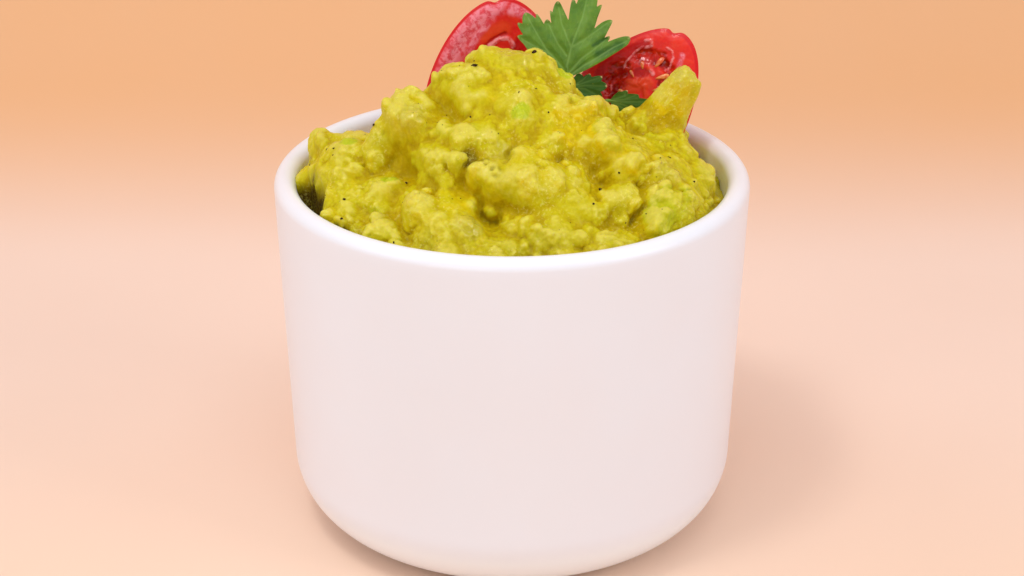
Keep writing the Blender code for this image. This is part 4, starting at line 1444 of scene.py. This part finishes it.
def parsley_shells(thickness, stalk):
    """The three leaflets with their stalks, and for each point how much vein, shade and pale tip it has."""
    node, terminal = np.array(STALK_NODE), np.array(LEAFLETS[0][2])
    shells, masks = [], []
    for leaflet in LEAFLETS:
        points, faces, attributes = leaflet_shell(*leaflet, thickness)
        shells.append((points, faces))
        masks.append(attributes)
    main_stem = [STALK_FOOT, node, terminal, terminal + (0.0, 0.4, 2.2)]
    stems = [(main_stem, stalk * np.array((1.0, 0.87, 0.56, 0.2)))]
    for _, _, base, heading, lean, _, _ in LEAFLETS[1:]:
        towards = leaflet_matrix(heading, lean) @ np.array((0.0, 1.0, 0.0))
        start = node + (terminal - node) * 0.1
        foot = np.array(base)
        stems.append(([start, foot - towards * 0.4, foot + towards * 1.6], (0.5, 0.36, 0.1)))
    for path, radii in stems:
        points, faces = tube_shell(path, radii)
        shells.append((points, faces))
        count = len(points)
        masks.append({"vein": np.full(count, 0.5), "shade": np.zeros(count), "tip": np.zeros(count)})
    points, faces = merge_shells(shells)
    return points, faces, {key: np.concatenate([mask[key] for mask in masks]) for key in masks[0]}


# ---------------------------------------------------------------- stage


def sweep_surface(radius):
    """Backing paper: a flat floor that bends up behind the bowl, as a profile in y and z carried across x."""
    floor = np.stack([np.linspace(FLOOR_FRONT, BEND_START, 40), np.zeros(40)], axis=1)
    angle = np.radians(np.linspace(0.0, BEND_DEGREES, 48))[1:]
    bend = np.stack([BEND_START + radius * np.sin(angle), radius * (1.0 - np.cos(angle))], axis=1)
    upwards = np.array((math.cos(angle[-1]), math.sin(angle[-1])))
    rise = bend[-1] + np.linspace(0.0, RISE_LENGTH, 30)[1:, None] * upwards
    profile = np.concatenate([floor, bend, rise])
    across = np.linspace(-PAPER_HALF_WIDTH, PAPER_HALF_WIDTH, 60)
    x = np.broadcast_to(across, (len(profile), len(across)))
    y = np.broadcast_to(profile[:, :1], x.shape)
    z = np.broadcast_to(profile[:, 1:], x.shape)
    return np.stack([x, y, z], axis=-1)


def add_area_light(name, place, target, size, power, colour):
    data = bpy.data.lights.new(name, "AREA")
    data.shape = "RECTANGLE"
    data.size, data.size_y = (length * MM for length in size)
    data.energy = power
    data.color = colour
    light = bpy.data.objects.new(name, data)
    bpy.context.scene.collection.objects.link(light)
    light.location = Vector(place) * MM
    direction = Vector(target) - Vector(place)
    light.rotation_euler = direction.to_track_quat("-Z", "Y").to_euler()


def add_camera():
    pitch = math.radians(CAMERA_PITCH)
    data = bpy.data.cameras.new("camera")
    data.lens = CAMERA_LENS
    data.sensor_width = SENSOR_WIDTH
    data.clip_start = 0.01
    data.clip_end = 10.0
    camera = bpy.data.objects.new("camera", data)
    bpy.context.scene.collection.objects.link(camera)
    back = Vector((0.0, -math.cos(pitch), math.sin(pitch))) * CAMERA_DISTANCE
    camera.location = (Vector(CAMERA_TARGET) + back) * MM
    camera.rotation_euler = (math.radians(90.0) - pitch, 0.0, 0.0)
    bpy.context.scene.camera = camera


# ---------------------------------------------------------------- add-on


def colour_setting(name, description, default):
    return bpy.props.FloatVectorProperty(
        name=name, description=description, default=default, min=0.0, max=1.0, subtype="COLOR"
    )


def length_setting(name, description, default, low, high, precision=2):
    """A length in metres."""
    return bpy.props.FloatProperty(
        name=name,
        description=description,
        default=default,
        min=low,
        max=high,
        precision=precision,
        unit="LENGTH",
    )


def share_setting(name, description, default, low, high):
    return bpy.props.FloatProperty(
        name=name, description=description, default=default, min=low, max=high, subtype="FACTOR"
    )


def count_setting(name, description, default, most):
    return bpy.props.IntProperty(name=name, description=description, default=default, min=0, max=most)


class BowlSettings(bpy.types.PropertyGroup):
    """What a user would change on the bowl."""

    glaze: colour_setting("Glaze", "Colour of the bowl's glaze", (0.85, 0.865, 0.94))
    ring_width: length_setting(
        "Foot ring",
        "Width of the ring that the bowl stands on",
        FOOT_RING_WIDTH * MM,
        0.002,
        0.01,
        precision=4,
    )
    recess: length_setting(
        "Foot recess",
        "Depth of the hollow inside the foot ring",
        FOOT_RECESS * MM,
        0.0002,
        0.002,
        precision=4,
    )


class MashSettings(bpy.types.PropertyGroup):
    """What a user would change on the guacamole."""

    colour: colour_setting(
        "Mash",
        "Colour of the mashed avocado between its greener and its more orange parts",
        (0.55, 0.46, 0.004),
    )
    nodules: count_setting("Nodules", "Number of soft lumps of 4 to 8 mm over the heap", NODULES, 600)
    pips: count_setting("Pips", "Number of small lumps of 2 to 4 mm over the heap", PIPS, 1000)
    stand: share_setting(
        "Lump height",
        "Share of its own size that a nodule stands proud of the mash",
        NODULE_STAND,
        0.0,
        0.3,
    )
    pepper_count: count_setting(
        "Fine pepper", "Number of fine flecks besides the larger cracked ones", PEPPER_COUNT, 400
    )
    pepper_size: share_setting(
        "Pepper size", "Coarseness of the pepper, as a share of full cracked size", 0.78, 0.4, 1.2
    )


class GarnishSettings(bpy.types.PropertyGroup):
    """What a user would change on the tomato and the parsley."""

    flesh: colour_setting("Tomato flesh", "Colour of the tomato's cut wall", (0.7, 0.018, 0.012))
    skin: colour_setting("Tomato skin", "Colour of the tomato's skin", (0.62, 0.008, 0.01))
    leaf: colour_setting("Parsley", "Colour of the parsley leaf between its veins", (0.12, 0.23, 0.014))
    seed_plumpness: share_setting(
        "Seed plumpness", "Width of the tomato seeds, as a share of their usual width", 1.0, 0.5, 1.5
    )
    leaf_thickness: length_setting(
        "Leaf thickness",
        "Thickness of a parsley leaflet where it leaves its stalk",
        0.00026,
        0.0002,
        0.0006,
        precision=5,
    )
    stalk_radius: length_setting(
        "Stalk radius", "Radius of the parsley stalk at its foot", 0.00075, 0.0004, 0.0012, precision=5
    )


class StageSettings(bpy.types.PropertyGroup):
    """What a user would change on the stage."""

    floor: colour_setting("Paper floor", "Colour of the backing paper under the bowl", (0.87, 0.605, 0.425))
    # The rise colour is deeper than the floor, as painted shade on the paper.
    rise: colour_setting(
        "Paper rise", "Colour of the backing paper where it rises behind the bowl", (0.86, 0.48, 0.245)
    )
    bend: length_setting("Paper bend", "Radius of the bend where the backing paper rises", 0.26, 0.1, 0.5)
    lamps: share_setting(
        "Lamp strength", "Strength of all the lamps, as a share of the usual", 1.0, 0.0, 3.0
    )


class GUACAMOLE_OT_bowl(bpy.types.Operator):
    """Makes the white dip bowl"""

    bl_idname = "guacamole.bowl"
    bl_label = "Bowl"

    def execute(self, context):
        bowl = context.scene.guacamole_bowl
        points, faces = bowl_surface(bowl.ring_width / MM, bowl.recess / MM)
        material = glaze_material(bowl.glaze)
        new_piece("dip_bowl", points, faces, material, "bowl")
        return {"FINISHED"}


class GUACAMOLE_OT_mash(bpy.types.Operator):
    """Makes the heap of guacamole and the pepper on it"""

    bl_idname = "guacamole.mash"
    bl_label = "Guacamole and pepper"

    def execute(self, context):
        mash = context.scene.guacamole_mash
        heap = build_heap(mash.nodules, mash.pips, mash.stand)
        top = heap.surface()
        points, faces = heap_shell(heap, top)
        fields = {
            "hue": heap.hue,
            "relief": heap.hump_map(),
            "fresh": heap.fresh,
            "wet": heap.wet,
            "painted_shade": heap.painted_shade,
            "facing": heap.facing,
        }
        attributes = {key: pad_to(values, len(points)) for key, values in fields.items()}
        material = mash_material(mash.colour)
        new_piece("guacamole_mash", points, faces, material, "guacamole", attributes)
        normals = grid_normals(heap.grid(top)).reshape(-1, 3)
        points, faces = pepper_shells(top, normals, mash.pepper_count, mash.pepper_size)
        new_piece("pepper_flecks", points, faces, pepper_material())
        return {"FINISHED"}


class GUACAMOLE_OT_tomatoes(bpy.types.Operator):
    """Makes the two tomato halves and their seeds"""

    bl_idname = "guacamole.tomatoes"
    bl_label = "Tomato halves"

    def execute(self, context):
        garnish = context.scene.guacamole_garnish
        material = tomato_material(garnish.flesh, garnish.skin)
        seeds = seed_material()
        for node in TOMATOES:
            points, faces, attributes = tomato_surface(node)
            new_piece(f"{node}_flesh", points, faces, material, node, attributes)
            points, faces = seed_shells(node, garnish.seed_plumpness)
            new_piece(f"{node}_seeds", points, faces, seeds)
        return {"FINISHED"}


class GUACAMOLE_OT_parsley(bpy.types.Operator):
    """Makes the parsley sprig"""

    bl_idname = "guacamole.parsley"
    bl_label = "Parsley sprig"

    def execute(self, context):
        garnish = context.scene.guacamole_garnish
        points, faces, attributes = parsley_shells(garnish.leaf_thickness / MM, garnish.stalk_radius / MM)
        material = parsley_material(garnish.leaf)
        new_piece("parsley_leaflets", points, faces, material, "parsley_sprig", attributes)
        return {"FINISHED"}


class GUACAMOLE_OT_stage(bpy.types.Operator):
    """Makes the backing paper, the lights and the camera"""

    bl_idname = "guacamole.stage"
    bl_label = "Stage"

    def execute(self, context):
        stage = context.scene.guacamole_stage
        grid = sweep_surface(stage.bend / MM)
        index = np.arange(grid.shape[0] * grid.shape[1]).reshape(grid.shape[:2])
        mesh = bpy.data.meshes.new("backing_paper")
        mesh.from_pydata((grid.reshape(-1, 3) * MM).tolist(), [], grid_quads(index).tolist())
        mesh.polygons.foreach_set("use_smooth", np.ones(len(mesh.polygons), bool))
        mesh.materials.append(paper_material(stage.floor, stage.rise))
        paper = bpy.data.objects.new("backing_paper", mesh)
        context.scene.collection.objects.link(paper)
        world = bpy.data.worlds.new("studio")
        world.use_nodes = True
        background = world.node_tree.nodes["Background"]
        background.inputs["Color"].default_value = SKY_COLOUR
        background.inputs["Strength"].default_value = SKY_STRENGTH
        context.scene.world = world
        for name, place, target, size, power, colour in LAMPS:
            add_area_light(name, place, target, size, power * stage.lamps, colour)
        add_camera()
        context.scene.view_settings.view_transform = "Standard"
        context.scene.view_settings.look = "None"
        return {"FINISHED"}


class GUACAMOLE_PT_panel(bpy.types.Panel):
    """Lists the pieces in the sidebar."""

    bl_idname = "GUACAMOLE_PT_panel"
    bl_label = "Guacamole"
    bl_space_type = "VIEW_3D"
    bl_region_type = "UI"
    bl_category = "Guacamole"

    def draw(self, context):
        for setting, operators in PANEL_ROWS.items():
            group = getattr(context.scene, setting)
            box = self.layout.box()
            for name in group.__annotations__:
                box.prop(group, name)
            for operator in operators:
                box.operator(operator.bl_idname)


SETTINGS = {
    "guacamole_bowl": BowlSettings,
    "guacamole_mash": MashSettings,
    "guacamole_garnish": GarnishSettings,
    "guacamole_stage": StageSettings,
}
PANEL_ROWS = {
    "guacamole_bowl": (GUACAMOLE_OT_bowl,),
    "guacamole_mash": (GUACAMOLE_OT_mash,),
    "guacamole_garnish": (GUACAMOLE_OT_tomatoes, GUACAMOLE_OT_parsley),
    "guacamole_stage": (GUACAMOLE_OT_stage,),
}
CLASSES = (
    *SETTINGS.values(),
    GUACAMOLE_OT_bowl,
    GUACAMOLE_OT_mash,
    GUACAMOLE_OT_tomatoes,
    GUACAMOLE_OT_parsley,
    GUACAMOLE_OT_stage,
    GUACAMOLE_PT_panel,
)


def register():
    for cls in CLASSES:
        bpy.utils.register_class(cls)
    for name, group in SETTINGS.items():
        setattr(bpy.types.Scene, name, bpy.props.PointerProperty(type=group))


def unregister():
    for name in SETTINGS:
        delattr(bpy.types.Scene, name)
    for cls in reversed(CLASSES):
        bpy.utils.unregister_class(cls)


def main():
    register()
    bpy.ops.guacamole.stage()
    bpy.ops.guacamole.bowl()
    bpy.ops.guacamole.mash()
    bpy.ops.guacamole.tomatoes()
    bpy.ops.guacamole.parsley()


if __name__ == "__main__":
    main()
